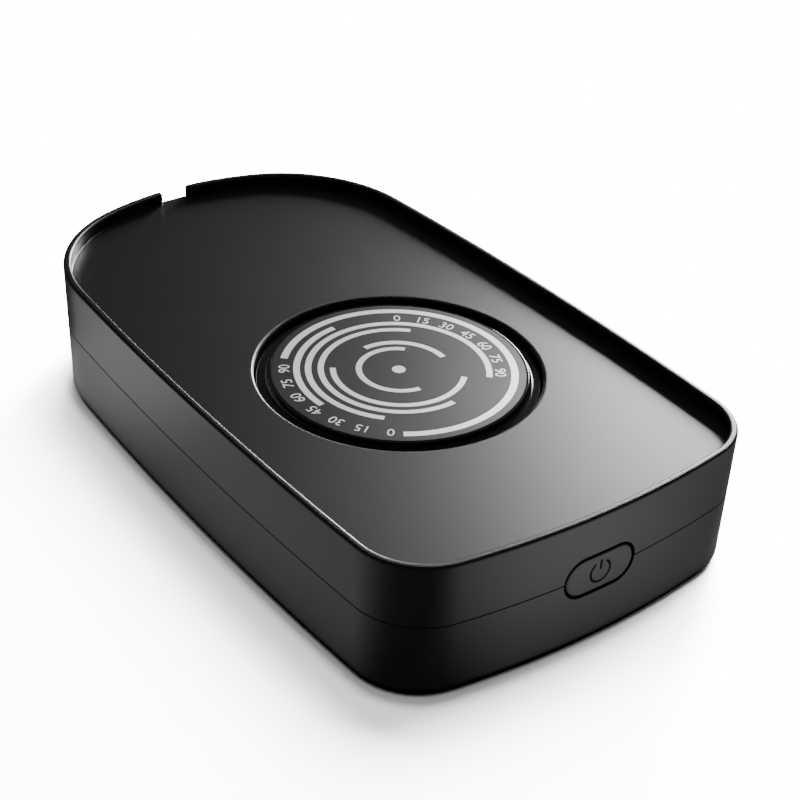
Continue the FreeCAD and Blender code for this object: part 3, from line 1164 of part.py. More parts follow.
def beside(route, offset, start_offset):
    """A route moved sideways by offset, but by start_offset along its first run."""
    points = [Vector(*point) for point in route]
    normals = [level_normal(start, end) for start, end in zip(points, points[1:])]
    moved = [points[0] + normals[0] * start_offset, points[1] + normals[0] * start_offset]
    for index in range(2, len(points) - 1):
        middle = normals[index - 1] + normals[index]
        middle = middle * (1 / middle.Length)
        moved.append(points[index] + middle * (offset / middle.dot(normals[index])))
    moved.append(points[-1] + normals[-1] * offset)
    return moved


def bend(before, corner, after):
    """The start, middle and end of the arc that rounds a corner of a route."""
    back = before - corner
    forward = after - corner
    tangent = ARC_SHARE * min(back.Length, forward.Length)
    back = back * (1 / back.Length)
    forward = forward * (1 / forward.Length)
    bisector = back + forward
    bisector = bisector * (1 / bisector.Length)
    half_angle = back.getAngle(forward) / 2
    radius = tangent * math.tan(half_angle)
    centre = corner + bisector * (tangent / math.cos(half_angle))
    return radius, [corner + back * tangent, centre - bisector * radius, corner + forward * tangent]


def lead(points, name):
    """A round lead along a route of straight runs joined by tangent arcs."""
    edges = []
    radii = []
    reached = points[0]
    for before, corner, after in zip(points, points[1:], points[2:]):
        radius, arc = bend(before, corner, after)
        radii.append(radius)
        edges.append(Part.LineSegment(reached, arc[0]).toShape())
        edges.append(Part.Arc(*arc).toShape())
        reached = arc[2]
    edges.append(Part.LineSegment(reached, points[-1]).toShape())
    path = Part.Wire(edges)
    direction = points[1] - points[0]
    section = Part.Wire(Part.makeCircle(LEAD_DIAMETER / 2, points[0], direction))
    solid = path.makePipeShell([section], True, False)
    ideal = math.pi * LEAD_DIAMETER ** 2 / 4 * path.Length
    print(name, "bend radii", [round(radius, 1) for radius in radii],
          "volume share", round(solid.Volume / ideal, 3))
    return solid


def make_power_leads():
    """The pair of leads from the USB-C inlet to the main board."""
    half = LEAD_SPACING / 2
    leads = [lead(beside(POWER_ROUTE, side * half, side * half), "power lead") for side in (-1, 1)]
    return Part.makeCompound(leads)


def make_motor_leads():
    """The pair of leads from the main board to the motor's terminals."""
    half = LEAD_SPACING / 2
    leads = [lead(beside(MOTOR_ROUTE, side * half, side * TERMINAL_SPREAD), "motor lead") for side in (-1, 1)]
    return Part.makeCompound(leads)


# ---------------------------------------------------------------- the whole part

NODES = {
    "bottom_case": make_bottom_case,
    "top_cover": make_top_cover,
    "rubber_feet": make_rubber_feet,
    "case_screws": make_case_screws,
    "gearbox_plate": make_gearbox_plate,
    "gearbox_screws": make_gearbox_screws,
    "gear_pins": make_gear_pins,
    "thrust_washer": make_thrust_washer,
    "turntable_disc": make_turntable_disc,
    "disc_face": make_disc_face,
    "turntable_gear": make_turntable_gear,
    "turntable_axle": make_turntable_axle,
    "axle_clip": make_axle_clip,
    "final_reduction_gear": make_final_reduction_gear,
    "first_reduction_gear": make_first_reduction_gear,
    "motor_can": make_motor_can,
    "motor_end_cap": make_motor_end_cap,
    "motor_terminals": make_motor_terminals,
    "motor_magnets": make_motor_magnets,
    "motor_armature": make_motor_armature,
    "motor_shaft": make_motor_shaft,
    "motor_pinion": make_motor_pinion,
    "motor_screws": make_motor_screws,
    "power_button": make_power_button,
    "switch_plunger": make_switch_plunger,
    "push_switch": make_push_switch,
    "main_board": make_main_board,
    "board_screws": make_board_screws,
    "controller_chip": lambda: on_board(CHIP_SIZE, CHIP_PLACE),
    "driver_chip": lambda: on_board(DRIVER_SIZE, DRIVER_PLACE),
    "storage_capacitor": make_storage_capacitor,
    "board_sockets": make_board_sockets,
    "usb_board": make_usb_board,
    "usb_board_screws": make_usb_board_screws,
    "usb_shell": make_usb_shell,
    "usb_tongue": make_usb_tongue,
    "power_leads": make_power_leads,
    "motor_leads": make_motor_leads,
}


def main():
    """Write one STEP file for each node."""
    os.makedirs("parts", exist_ok=True)
    for name, make in NODES.items():
        shape = make()
        box = shape.BoundBox
        print("%-22s %2d solid(s) %9.2f mm3  z %6.2f to %6.2f" % (
            name, len(shape.Solids), shape.Volume, box.ZMin, box.ZMax))
        shape.exportStep("parts/%s.step" % name)


if __name__ == "__main__":
    main()
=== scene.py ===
import dataclasses
import functools
import json
import math

import bmesh
import bpy
from bpy.props import FloatProperty, FloatVectorProperty, PointerProperty
from mathutils import Matrix, Vector


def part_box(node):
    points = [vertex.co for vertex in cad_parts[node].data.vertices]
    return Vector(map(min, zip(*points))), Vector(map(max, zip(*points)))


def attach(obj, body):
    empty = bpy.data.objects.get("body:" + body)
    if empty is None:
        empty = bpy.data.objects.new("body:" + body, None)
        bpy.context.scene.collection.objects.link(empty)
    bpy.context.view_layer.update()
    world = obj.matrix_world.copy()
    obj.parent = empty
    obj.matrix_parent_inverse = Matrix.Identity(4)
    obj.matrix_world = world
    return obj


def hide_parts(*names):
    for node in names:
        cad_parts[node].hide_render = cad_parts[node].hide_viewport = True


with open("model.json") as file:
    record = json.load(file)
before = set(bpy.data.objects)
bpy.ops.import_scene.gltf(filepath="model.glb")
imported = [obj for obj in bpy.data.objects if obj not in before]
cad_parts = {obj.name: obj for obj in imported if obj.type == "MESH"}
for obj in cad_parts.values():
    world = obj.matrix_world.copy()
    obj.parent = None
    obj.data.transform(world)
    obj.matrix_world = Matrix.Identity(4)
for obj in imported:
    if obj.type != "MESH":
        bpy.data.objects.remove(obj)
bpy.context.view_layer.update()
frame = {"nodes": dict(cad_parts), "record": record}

bl_info = {
    "name": "Mouse jiggler dress",
    "version": (1, 0, 0),
    "blender": (4, 5, 0),
    "location": "View3D > Sidebar > Jiggler",
    "description": "Dresses the packed mouse jiggler: moulded shells, turntable, printed face, button and stage",
    "category": "Object",
}

MM = 0.001


@functools.lru_cache(maxsize=None)
def cad_box(name):
    """The lowest and the highest corner of a CAD node."""
    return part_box(name)


# ---------------------------------------------------------------- settings

def size(name, description, millimetres):
    """A length in the settings, whose default is given in millimetres."""
    return FloatProperty(name=name, description=description, default=millimetres * MM, unit="LENGTH", precision=5)


def turn(name, description, degrees):
    """An angle in the settings, whose default is given in degrees."""
    return FloatProperty(name=name, description=description, default=math.radians(degrees), subtype="ANGLE")


def amount(name, description, value):
    """A plain number in the settings."""
    return FloatProperty(name=name, description=description, default=value)


def paint(name, description, colour):
    """A linear colour in the settings."""
    return FloatVectorProperty(name=name, description=description, default=colour, size=3, min=0.0, max=1.0,
                               subtype="COLOR")


class HousingSettings(bpy.types.PropertyGroup):
    """Sizes of the two shells."""
    width: size("Width", "Widest part of the rim", 80.0)
    length: size("Length", "From the front bow to the tip of the arched end", 138.0)
    front_bow_radius: size("Front bow", "Radius of the bowed front", 175.0)
    front_corner_radius: size("Front corners", "Radius of the two front corners", 13.5)
    side_bow_radius: size("Side bow", "Radius of the bowed sides", 800.0)
    side_bow_y: size("Side bow place", "Where along the length the sides are widest", -20.4)
    arch_radius: size("Arch", "Radius of the arched end", 56.0)
    shoulder_radius: size("Shoulders", "Radius between the sides and the arched end", 29.5)
    draft: size("Draft", "How far the sides lean inwards from the rim to the bottom", 0.53)
    inset: size("Inset", "How far the shells are kept inside the packed model's faces", 0.015)
    bottom_z: size("Bottom", "Height of the underside over the desk", 0.8)
    floor_z: size("Floor", "Height of the floor inside", 2.8)
    parting_z: size("Parting line", "Height of the joint between the shells", 14.7)
    seam_gap: size("Seam gap", "Half the gap that shows at the joint", 0.05)
    seam_chamfer: size("Seam chamfer", "Edge break of each shell at the joint", 0.08)
    wall: size("Wall", "Thickness of the side walls", 2.0)
    lip_inset: size("Lip inset", "From the outside to the locating lip", 1.2)
    lip_height: size("Lip height", "Height of the locating lip", 1.2)
    lip_clearance: size("Lip clearance", "Room around the lip", 0.15)
    bottom_round: size("Bottom round", "Radius of the lower edge", 1.1)
    rim_thickness: size("Rim thickness", "Width of the rim's top", 1.5)
    rim_height: size("Rim height", "Height of the rim over the tray", 2.6)
    rim_outer_round: size("Rim outer round", "Radius of the rim's outer edge", 0.5)
    rim_inner_round: size("Rim inner round", "Radius of the rim's inner edge", 0.5)
    foot_fillet: size("Foot fillet", "Fillet between the rim and the tray", 0.22)
    deck_thickness: size("Deck", "Thickness of the tray's floor", 1.9)
    notch_width: size("Notch width", "Width of the cable notch", 6.0)
    notch_inner_round: size("Notch inner round", "Radius of the rim's inner corners at the notch", 0.6)
    notch_outer_round: size("Notch outer round", "Radius of the rim's outer corners at the notch", 0.22)
    sill_round: size("Sill", "Edge break of the notch's floor at the outside", 0.15)
    support: size("Support", "How near a flat face is held beside a rounded edge", 0.25)
    kept_front: size("Kept front", "Half of the front bow whose lines run straight back", 12.0)
    kept_rear: size("Kept rear", "Half of the arched end whose lines run straight forward", 8.0)


class TurntableSettings(bpy.types.PropertyGroup):
    """Sizes of the well, the disc in it and its print."""
    centre_y: size("Axis", "Where the disc's axis is along the length", -12.1)
    disc_radius: size("Disc", "Radius of the disc", 23.85)
    disc_round: size("Disc edge", "Radius of the disc's upper edge", 0.25)
    disc_step: size("Disc step", "The disc's top above its flange", 1.5)
    flange_thickness: size("Flange", "Thickness of the flange", 1.1)
    flange_radius: size("Flange radius", "Radius of the flange", 26.0)
    flange_round: size("Flange edge", "Radius of the flange's edges", 0.25)
    flange_fillet: size("Flange fillet", "Fillet between the disc and its flange", 0.8)
    well_radius: size("Well", "Radius of the well", 26.35)
    well_round: size("Well lip", "Radius of the well's upper edge", 0.5)
    collar_wall: size("Collar", "Wall of the collar under the well", 1.6)
    film_margin: size("Film margin", "From the disc's edge to the film", 0.55)
    film_gap: size("Film gap", "Room around the film", 0.03)
    film_thickness: size("Film", "Thickness of the film", 0.25)
    film_round: size("Film edge", "Edge break of the film", 0.05)
    ink_thickness: size("Ink", "Thickness of the print", 0.02)
    figure_height: size("Figures", "Size of the printed figures", 2.9)


class ButtonSettings(bpy.types.PropertyGroup):
    """Sizes of the power button and its opening."""
    width: size("Width", "Width of the button", 14.5)
    height: size("Height", "Height of the button", 7.3)
    gap: size("Gap", "Gap around the button", 0.45)
    edge_round: size("Edge", "Radius of the button's edge", 0.45)
    flange_overhang: size("Flange", "Overhang of the flange behind the wall", 1.0)
    flange_thickness: size("Flange thickness", "Thickness of the flange", 1.2)
    plunger_gap: size("Plunger gap", "From the flange to the tip of the switch's plunger", 2.0)
    symbol_radius: size("Symbol", "Radius of the power symbol", 2.1)
    symbol_line: size("Symbol line", "Width of the symbol's lines", 0.45)
    symbol_bar: size("Symbol bar", "Length of the symbol's bar", 1.9)
    symbol_gap: turn("Symbol gap", "Half the opening of the symbol's ring", 33.0)
    symbol_thickness: size("Symbol thickness", "Thickness of the symbol's print", 0.02)
    symbol_sink: size("Symbol sink", "How far the print reaches into the button", 0.008)


class UndersideSettings(bpy.types.PropertyGroup):
    """Sizes of the feet and of the case screws."""
    foot_radius: size("Foot", "Radius of a rubber foot", 5.0)
    foot_recess: size("Foot recess", "Depth of a foot's recess", 0.6)
    foot_gap: size("Foot gap", "Room around a foot", 0.1)
    foot_round: size("Foot edge", "Radius of a foot's lower edge", 0.3)
    bore_radius: size("Screw bore", "Radius of the bore over a screw's head", 2.6)
    bore_depth: size("Bore depth", "Depth of the screw bores", 5.0)
    post_radius: size("Post", "Radius of the posts over the screw bores", 3.9)
    bore_chamfer: size("Bore chamfer", "Edge break of recesses and bores", 0.15)
    head_radius: size("Screw head", "Radius of a screw's head", 2.3)
    head_height: size("Head height", "Height of a screw's head", 1.6)
    head_crown: size("Head crown", "Radius of the edge of a screw's head", 0.64)
    shank_radius: size("Shank", "Radius of a screw's shank", 1.25)
    cross_reach: size("Cross reach", "Half the length of the cross in a screw's head", 1.35)
    cross_width: size("Cross width", "Half the width of the cross's arms", 0.28)
    cross_depth: size("Cross depth", "Depth of the cross", 0.9)


class InletSettings(bpy.types.PropertyGroup):
    """Sizes of the USB-C inlet."""
    width: size("Width", "Width of the inlet's shell", 8.94)
    height: size("Height", "Height of the inlet's shell", 3.26)
    wall: size("Wall", "Thickness of the shell", 0.3)
    gap: size("Gap", "Gap around the shell in the housing", 0.25)
    lip_round: size("Lip", "Radius of the shell's mouth", 0.1)
    base_depth: size("Base", "Depth of the moulding that closes the shell", 1.6)
    tongue_start: size("Tongue start", "Where in the base the tongue starts", 1.5)
    tongue_width: size("Tongue width", "Width of the tongue", 6.6)
    tongue_height: size("Tongue height", "Thickness of the tongue", 0.7)
    tongue_edge: size("Tongue edge", "Radius of the tongue's edges", 0.12)


class FinishSettings(bpy.types.PropertyGroup):
    """Colours of the finishes."""
    housing: paint("Housing", "Satin black of the shells", (0.0022, 0.0022, 0.0023))
    turntable_gloss: paint("Turntable", "Polished black of the disc", (0.004, 0.004, 0.0042))
    face_film: paint("Film", "Dark grey of the disc's face", (0.0022, 0.0022, 0.0023))
    ink: paint("Ink", "Silver grey of the print", (0.75, 0.75, 0.755))
    button_plastic: paint("Button", "Satin black of the button", (0.0043, 0.0043, 0.0044))
    symbol_ink: paint("Symbol", "Black of the power symbol", (0.0015, 0.0015, 0.0015))
    foot_rubber: paint("Feet", "Dark rubber", (0.020, 0.020, 0.021))
    screw_steel: paint("Screws", "Black zinc", (0.11, 0.11, 0.12))
    bright_steel: paint("Bright steel", "Turned and stamped steel", (0.56, 0.56, 0.58))
    plate_plastic: paint("Plate", "Glass-filled moulding", (0.055, 0.055, 0.060))
    gear_plastic: paint("Gears", "Natural acetal", (0.74, 0.72, 0.65))
    motor_steel: paint("Motor can", "Zinc-plated steel", (0.50, 0.51, 0.53))
    motor_end: paint("Motor end", "Natural nylon", (0.68, 0.66, 0.60))
    magnet: paint("Magnets", "Bonded ferrite", (0.050, 0.048, 0.048))
    armature_iron: paint("Armature", "Laminated iron", (0.24, 0.20, 0.17))
    pinion_brass: paint("Brass", "Hobbed brass", (0.72, 0.52, 0.20))
    plunger_plastic: paint("Plunger", "Grey moulding", (0.28, 0.28, 0.29))
    switch_body: paint("Switch", "Black moulding", (0.022, 0.022, 0.024))
    circuit_board: paint("Circuit board", "Green solder mask", (0.012, 0.13, 0.055))
    chip_body: paint("Chips", "Moulded epoxy", (0.018, 0.018, 0.020))
    capacitor_sleeve: paint("Capacitor", "Shrink sleeve", (0.020, 0.028, 0.090))
    socket_plastic: paint("Sockets", "Ivory moulding", (0.78, 0.76, 0.68))
    lead_cover: paint("Leads", "Red insulation", (0.30, 0.018, 0.014))


class StageSettings(bpy.types.PropertyGroup):
    """The camera, the floor and the room."""
    target_x: size("Target X", "Point that the camera turns about", 16.247)
    target_y: size("Target Y", "Point that the camera turns about", 8.169)
    target_z: size("Target Z", "Point that the camera turns about", 0.8)
    distance: size("Distance", "From the camera to the target", 368.77)
    azimuth: turn("Azimuth", "Direction of the camera, from the front towards the right", -37.68)
    elevation: turn("Elevation", "Height of the camera as an angle", 32.59)
    roll: turn("Roll", "Turn of the camera about its view", 2.70)
    lens: FloatProperty(name="Lens", description="Focal length on a sensor 36 mm wide", default=82.77, unit="CAMERA")
    floor_half: size("Floor", "Half the side of the floor", 3000.0)
    floor_colour: paint("Floor colour", "White of the floor", (0.80, 0.80, 0.80))
    floor_lift: amount("Floor lift", "How much brighter the camera sees the floor", 10.0)
    # Painted contact shade: how far the occlusion reaches that darkens the floor's colour near the object
    contact_reach: size("Contact shade", "How far the shade under the object reaches", 5.0)
    white_from: size("White from", "How far from the object the floor starts to turn plain white", 350.0)
    white_level: amount("White level", "Strength of the plain white behind the object", 20.0)
    # The painted dark reflection in the floor's glow is centred on this corner
    near_corner_x: size("Near corner X", "The corner that the camera faces", -25.8)
    near_corner_y: size("Near corner Y", "The corner that the camera faces", -53.4)
    world_colour: paint("World", "Light of the room", (0.5, 0.5, 0.5))
    world_strength: amount("Room light", "Strength of the light of the room", 0.13)


SETTINGS = {
    "jiggler_housing": HousingSettings,
    "jiggler_turntable": TurntableSettings,
    "jiggler_button": ButtonSettings,
    "jiggler_underside": UndersideSettings,
    "jiggler_inlet": InletSettings,
    "jiggler_finish": FinishSettings,
    "jiggler_stage": StageSettings,
}


# ---------------------------------------------------------------- outline of the housing

# How many lines the outline has on each of its arcs, from the front to the arched end
FRONT_LINES = 8
CORNER_LINES = 26
SIDE_LINES = 40
SHOULDER_LINES = 26
ARCH_LINES = 12
BUTTON_LINES = 5                 # lines on half of the straight part of each opening
INLET_LINES = 3
OPENING_STEP = 12.0              # degrees between the lines round the end of an opening
BESIDE_BUTTON = (9.0 * MM, 10.5 * MM)    # places of the lines just beside the button
NOSE_STEPS = (0.0, 0.04, 0.15, 0.35, 0.62, 1.0)


def circles_meeting(first, first_radius, second, second_radius):
    """Both points where two circles meet, the one with the lower Y first."""
    apart = second - first
    along = (first_radius ** 2 - second_radius ** 2 + apart.length_squared) / (2 * apart.length)
    aside = math.sqrt(first_radius ** 2 - along ** 2)
    direction = apart.normalized()
    normal = Vector((-direction.y, direction.x))
    points = [first + direction * along + normal * aside, first + direction * along - normal * aside]
    return sorted(points, key=lambda point: point.y)


def bearing(vector):
    """The angle of a level vector."""
    return math.atan2(vector.y, vector.x)


@dataclasses.dataclass
class OutlineLine:
    """An upright line of the outline. It lies at an angle on an arc, or keeps its x near the middle of an end."""
    centre: Vector
    radius: float
    angle: float
    kept_x: float = None
    spread: float = 0.0
    mirror: int = 1
    notch: float = None          # how far it stands beside the notch, negative inside it

    def at(self, inset):
        """The line's place, moved inwards by inset."""
        reach = self.radius - inset
        if self.kept_x is None:
            point = self.centre + Vector((math.cos(self.angle), math.sin(self.angle))) * reach
        else:
            limit = reach * math.cos(self.angle)
            x = self.kept_x + self.spread * (limit - self.kept_x)
            y = self.centre.y + math.copysign(math.sqrt(reach ** 2 - x ** 2), self.angle)
            point = Vector((x, y))
        return Vector((self.mirror * point.x, point.y))

    def points(self, profile):
        """The places of a profile, given as insets and heights."""
        return [self.at(inset).to_3d() + Vector((0, 0, z)) for inset, z in profile]

    def half_open(self, scene):
        """Half the height of the stadium-shaped opening that the line passes, or 0 beside it."""
        if self.kept_x is None or self.spread:
            return 0.0
        hole = scene.jiggler_button if self.angle < 0 else scene.jiggler_inlet
        past = max(0.0, abs(self.kept_x) - (hole.width - hole.height) / 2)
        return math.sqrt(max(0.0, (hole.height / 2 + hole.gap) ** 2 - past ** 2))


def opening_places(hole, straight_steps):
    """The x of the lines round half of a stadium-shaped opening."""
    reach = (hole.width - hole.height) / 2
    radius = hole.height / 2 + hole.gap
    places = [reach * step / straight_steps for step in range(straight_steps)]
    degrees = 0.0
    while degrees <= 90.0:
        places.append(reach + radius * math.sin(math.radians(degrees)))
        degrees += OPENING_STEP
    return places + [reach + radius]


def housing_lines(scene):
    """The lines of the outline, anticlockwise from the middle of the front."""
    housing = scene.jiggler_housing
    front = Vector((0, -housing.length / 2 + housing.front_bow_radius))
    arch = Vector((0, housing.length / 2 - housing.arch_radius))
    side = Vector((housing.width / 2 - housing.side_bow_radius, housing.side_bow_y))
    corner = circles_meeting(front, housing.front_bow_radius - housing.front_corner_radius,
                             side, housing.side_bow_radius - housing.front_corner_radius)[0]
    shoulder = circles_meeting(arch, housing.arch_radius - housing.shoulder_radius,
                               side, housing.side_bow_radius - housing.shoulder_radius)[1]
    front_end, side_start = bearing(corner - front), bearing(corner - side)
    side_end, arch_end = bearing(shoulder - side), bearing(shoulder - arch)
    on_front = functools.partial(OutlineLine, front, housing.front_bow_radius, front_end)
    on_arch = functools.partial(OutlineLine, arch, housing.arch_radius, arch_end)

    places = opening_places(scene.jiggler_button, BUTTON_LINES) + [*BESIDE_BUTTON, housing.kept_front]
    lines = [on_front(x) for x in places]
    lines += [on_front(housing.kept_front, step / FRONT_LINES) for step in range(1, FRONT_LINES + 1)]
    arcs = [(corner, housing.front_corner_radius, front_end, side_start, CORNER_LINES),
            (side, housing.side_bow_radius, side_start, side_end, SIDE_LINES),
            (shoulder, housing.shoulder_radius, side_end, arch_end, SHOULDER_LINES)]
    for centre, radius, start, end, steps in arcs:
        lines += [OutlineLine(centre, radius, start + (end - start) * step / steps) for step in range(1, steps + 1)]
    lines += [on_arch(housing.kept_rear, step / ARCH_LINES) for step in range(ARCH_LINES - 1, 0, -1)]
    half_notch = housing.notch_width / 2
    inlet_places = opening_places(scene.jiggler_inlet, INLET_LINES)
    nose = [half_notch + part * housing.notch_inner_round for part in NOSE_STEPS]
    between = (housing.kept_rear + inlet_places[-1]) / 2
    for x in sorted({*inlet_places, *nose, housing.kept_rear, between}, reverse=True):
        lines.append(on_arch(x, notch=x - half_notch))
        if x == half_notch:
            lines.append(on_arch(x, notch=-1.0))
    return lines + [dataclasses.replace(line, mirror=-1) for line in reversed(lines[1:-1])]


def rim_top():
    """Height of the rim's top."""
    return cad_box("top_cover")[1].z


def tray_z(housing):
    """Height of the tray."""
    return rim_top() - housing.rim_height


def lean(housing, z):
    """How far the side of the housing stands inside its rim at height z."""
    return housing.inset + housing.draft * (rim_top() - z) / (rim_top() - housing.bottom_z)


def leaning(housing, heights, inset=0.0):
    """A profile that follows the lean of the side at an inset."""
    return [(inset + lean(housing, z), z) for z in heights]


def rounded(radius, past):
    """How far a rounded corner has fallen back at a distance past the flat that it rounds."""
    if past >= radius:
        return 0.0
    return radius - math.sqrt(radius ** 2 - (radius - max(0.0, past)) ** 2)


# ---------------------------------------------------------------- mesh tools

MERGE = 1e-7                     # metres; points this near are one
SMOOTH_ANGLE = math.radians(32)
CIRCLE_STEPS = 64
DISC_STEPS = 192
STADIUM_STEPS = 36               # faces round each end of a stadium
STADIUM_STRAIGHT = 8             # faces along each straight part of it
EDGE_STEPS = 5                   # faces across a small rounded edge
FILLET_STEPS = 3
BROAD_STEPS = 7


def bend(start, end, steps, upright=False):
    """A profile of a quarter bend, which sets out along the first axis, or along the second when upright."""
    profile = []
    for step in range(steps + 1):
        angle = math.pi / 2 * step / steps
        parts = (math.sin(angle), 1 - math.cos(angle))
        first, second = reversed(parts) if upright else parts
        profile.append((start[0] + (end[0] - start[0]) * first, start[1] + (end[1] - start[1]) * second))
    return profile


def circle_points(place, radius, z):
    """Points round a level circle."""
    angles = [2 * math.pi * step / CIRCLE_STEPS for step in range(CIRCLE_STEPS)]
    return [Vector((place[0] + radius * math.cos(angle), place[1] + radius * math.sin(angle), z))
            for angle in angles]


def stadium_ring(reach, radius):
    """The (x, z) points round a stadium whose middle line is 2 x reach long."""
    half = []
    for step in range(STADIUM_STEPS + 1):
        angle = -math.pi / 2 + math.pi * step / STADIUM_STEPS
        half.append((reach + radius * math.cos(angle), radius * math.sin(angle)))
    half += [(reach - 2 * reach * step / STADIUM_STRAIGHT, radius) for step in range(1, STADIUM_STRAIGHT)]
    return half + [(-x, -z) for x, z in half]


def ring_of_vertices(bm, points):
    """A closed ring of edges through the points. Gives its vertices."""
    verts = bmesh.ops.create_circle(bm, segments=len(points), radius=1.0)["verts"]
    for vert, point in zip(verts, points):
        vert.co = point
    return verts


def ring_edges(bm, verts):
    """The edges of a ring of vertices."""
    return [bm.edges.get((first, second)) for first, second in zip(verts, verts[1:] + verts[:1])]


def extruded_ring(bm, verts, points):
    """Extrude a ring of vertices and put the new ring on the points."""
    made = bmesh.ops.extrude_edge_only(bm, edges=ring_edges(bm, verts))
    fresh = {item for item in made["geom"] if isinstance(item, bmesh.types.BMVert)}
    ring = [next(edge.other_vert(vert) for edge in vert.link_edges if edge.other_vert(vert) in fresh)
            for vert in verts]
    for vert, point in zip(ring, points):
        vert.co = point
    return ring


def skinned(bm, rings):
    """Extrude from ring to ring. Gives the first and the last ring of vertices."""
    first = last = ring_of_vertices(bm, rings[0])
    for points in rings[1:]:
        last = extruded_ring(bm, last, points)
    return first, last


def capped(bm, ring):
    """Close a ring of vertices with one face."""
    bmesh.ops.edgeloop_fill(bm, edges=ring_edges(bm, ring))


def holed_face(bm, ring, circles, normal):
    """Fill a level ring of vertices, leaving out the circles, which are given as rings too."""
    edges = [edge for verts in (ring, *circles) for edge in ring_edges(bm, verts)]
    bmesh.ops.triangle_fill(bm, use_beauty=True, use_dissolve=False, edges=edges, normal=normal)


def recessed(bm, ring, z, recesses, edge_break, widening, normal):
    """Fill a level ring of vertices and sink round recesses into it, given as place, radius and depth."""
    circles = [ring_of_vertices(bm, circle_points(place, radius + widening, z)) for place, radius, _ in recesses]
    holed_face(bm, ring, circles, normal)
    for circle, (place, radius, depth) in zip(circles, recesses):
        for height in (z + edge_break, z + depth):
            circle = extruded_ring(bm, circle, circle_points(place, radius, height))
        capped(bm, circle)


def block(bm, dims, middle):
    """A box about a point. Gives its vertices."""
    verts = bmesh.ops.create_cube(bm, size=1.0)["verts"]
    bmesh.ops.scale(bm, vec=dims, verts=verts)
    bmesh.ops.translate(bm, vec=middle, verts=verts)
    return verts


def bevelled(bm, edges, radius, steps):
    """Round some edges."""
    bmesh.ops.bevel(bm, geom=edges, offset=radius, segments=steps, profile=0.5, affect="EDGES", material=-1)


def spun(bm, profile, centre_y, start=0.0, end=2 * math.pi, steps=DISC_STEPS):
    """Spin a profile of radii and heights about the upright axis at centre_y."""
    middle = Vector((0, centre_y, 0))
    verts = [bm.verts.new(Vector((radius, 0, z)) + middle) for radius, z in profile]
    geometry = verts + [bm.edges.new(pair) for pair in zip(verts, verts[1:])]
    full = end - start >= 2 * math.pi
    if not full:
        edges = geometry[len(verts):] + [bm.edges.new((verts[-1], verts[0]))]
        geometry = bmesh.ops.edgeloop_fill(bm, edges=edges)["faces"] + edges + verts
    bmesh.ops.rotate(bm, cent=middle, matrix=Matrix.Rotation(start, 4, "Z"), verts=verts)
    bmesh.ops.spin(bm, geom=geometry, cent=middle, axis=(0, 0, 1), angle=end - start, steps=steps, use_merge=full)


def piece(name, bm, body, slot, replaced=(), look=None):
    """Finish a mesh as a piece that rides on a body. Its look is that of its slot unless another is given."""
    bmesh.ops.remove_doubles(bm, verts=bm.verts, dist=MERGE)
    bmesh.ops.dissolve_degenerate(bm, dist=MERGE, edges=bm.edges)
    bmesh.ops.recalc_face_normals(bm, faces=bm.faces)
    mesh = bpy.data.meshes.new(name)
    bm.to_mesh(mesh)
    bm.free()
    mesh.shade_smooth()
    mesh.set_sharp_from_angle(angle=SMOOTH_ANGLE)
    mesh.materials.append(finish(look or slot))
    obj = bpy.data.objects.new(name, mesh)
    bpy.context.scene.collection.objects.link(obj)
    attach(obj, body)
    if replaced:
        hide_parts(*replaced)


# ---------------------------------------------------------------- materials

MOULDED = "Moulded texture"
MACHINED = "Machined texture"

# Each moulded finish: grain size and depth in millimetres, roughness, roughness swing and tint swing
MOULDED_FINISHES = {
    "housing": (0.16, 0.0005, 0.335, 0.005, 0.03),
    "turntable_gloss": (0.6, 0.0002, 0.11, 0.01, 0.02),
    "face_film": (0.11, 0.0004, 0.335, 0.01, 0.04),
    "ink": (0.09, 0.0004, 0.36, 0.02, 0.03),
    "button_plastic": (0.16, 0.0005, 0.335, 0.005, 0.03),
    "symbol_ink": (0.09, 0.0010, 0.60, 0.03, 0.03),
    "foot_rubber": (0.25, 0.0100, 0.80, 0.06, 0.12),
    "plate_plastic": (0.30, 0.0060, 0.52, 0.05, 0.12),
    "gear_plastic": (0.40, 0.0015, 0.38, 0.04, 0.04),
    "motor_end": (0.30, 0.0030, 0.45, 0.05, 0.05),
    "magnet": (0.20, 0.0080, 0.62, 0.06, 0.15),
    "plunger_plastic": (0.30, 0.0020, 0.42, 0.04, 0.06),
    "switch_body": (0.20, 0.0040, 0.45, 0.05, 0.08),
    "circuit_board": (0.55, 0.0040, 0.34, 0.06, 0.16),
    "chip_body": (0.12, 0.0040, 0.50, 0.05, 0.10),
    "capacitor_sleeve": (0.50, 0.0010, 0.26, 0.03, 0.05),
    "socket_plastic": (0.30, 0.0020, 0.44, 0.04, 0.05),
    "lead_cover": (0.35, 0.0020, 0.46, 0.05, 0.08),
}
# Each machined finish: roughness and roughness swing
MACHINED_FINISHES = {
    "screw_steel": (0.34, 0.08),
    "bright_steel": (0.24, 0.08),
    "motor_steel": (0.30, 0.09),
    "armature_iron": (0.48, 0.12),
    "pinion_brass": (0.26, 0.08),
}
METALLIC = {"ink": 0.7, "magnet": 0.3}           # moulded finishes that hold metal or look like it
PLAIN_GLOSS = 0.5                                # how strongly plain plastic mirrors, and what mirrors less
GLOSS = {"symbol_ink": 0.04, "foot_rubber": 0.25, "turntable_gloss": 0.30}
FINISH_PREFIX = "jiggler_"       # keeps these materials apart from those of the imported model
CLOUDS_PER_METRE = 55.0          # slow change of gloss over a moulding
SCRATCHES_PER_METRE = (120.0, 120.0, 9000.0)
SCRATCH_DEPTH = 0.004 * MM


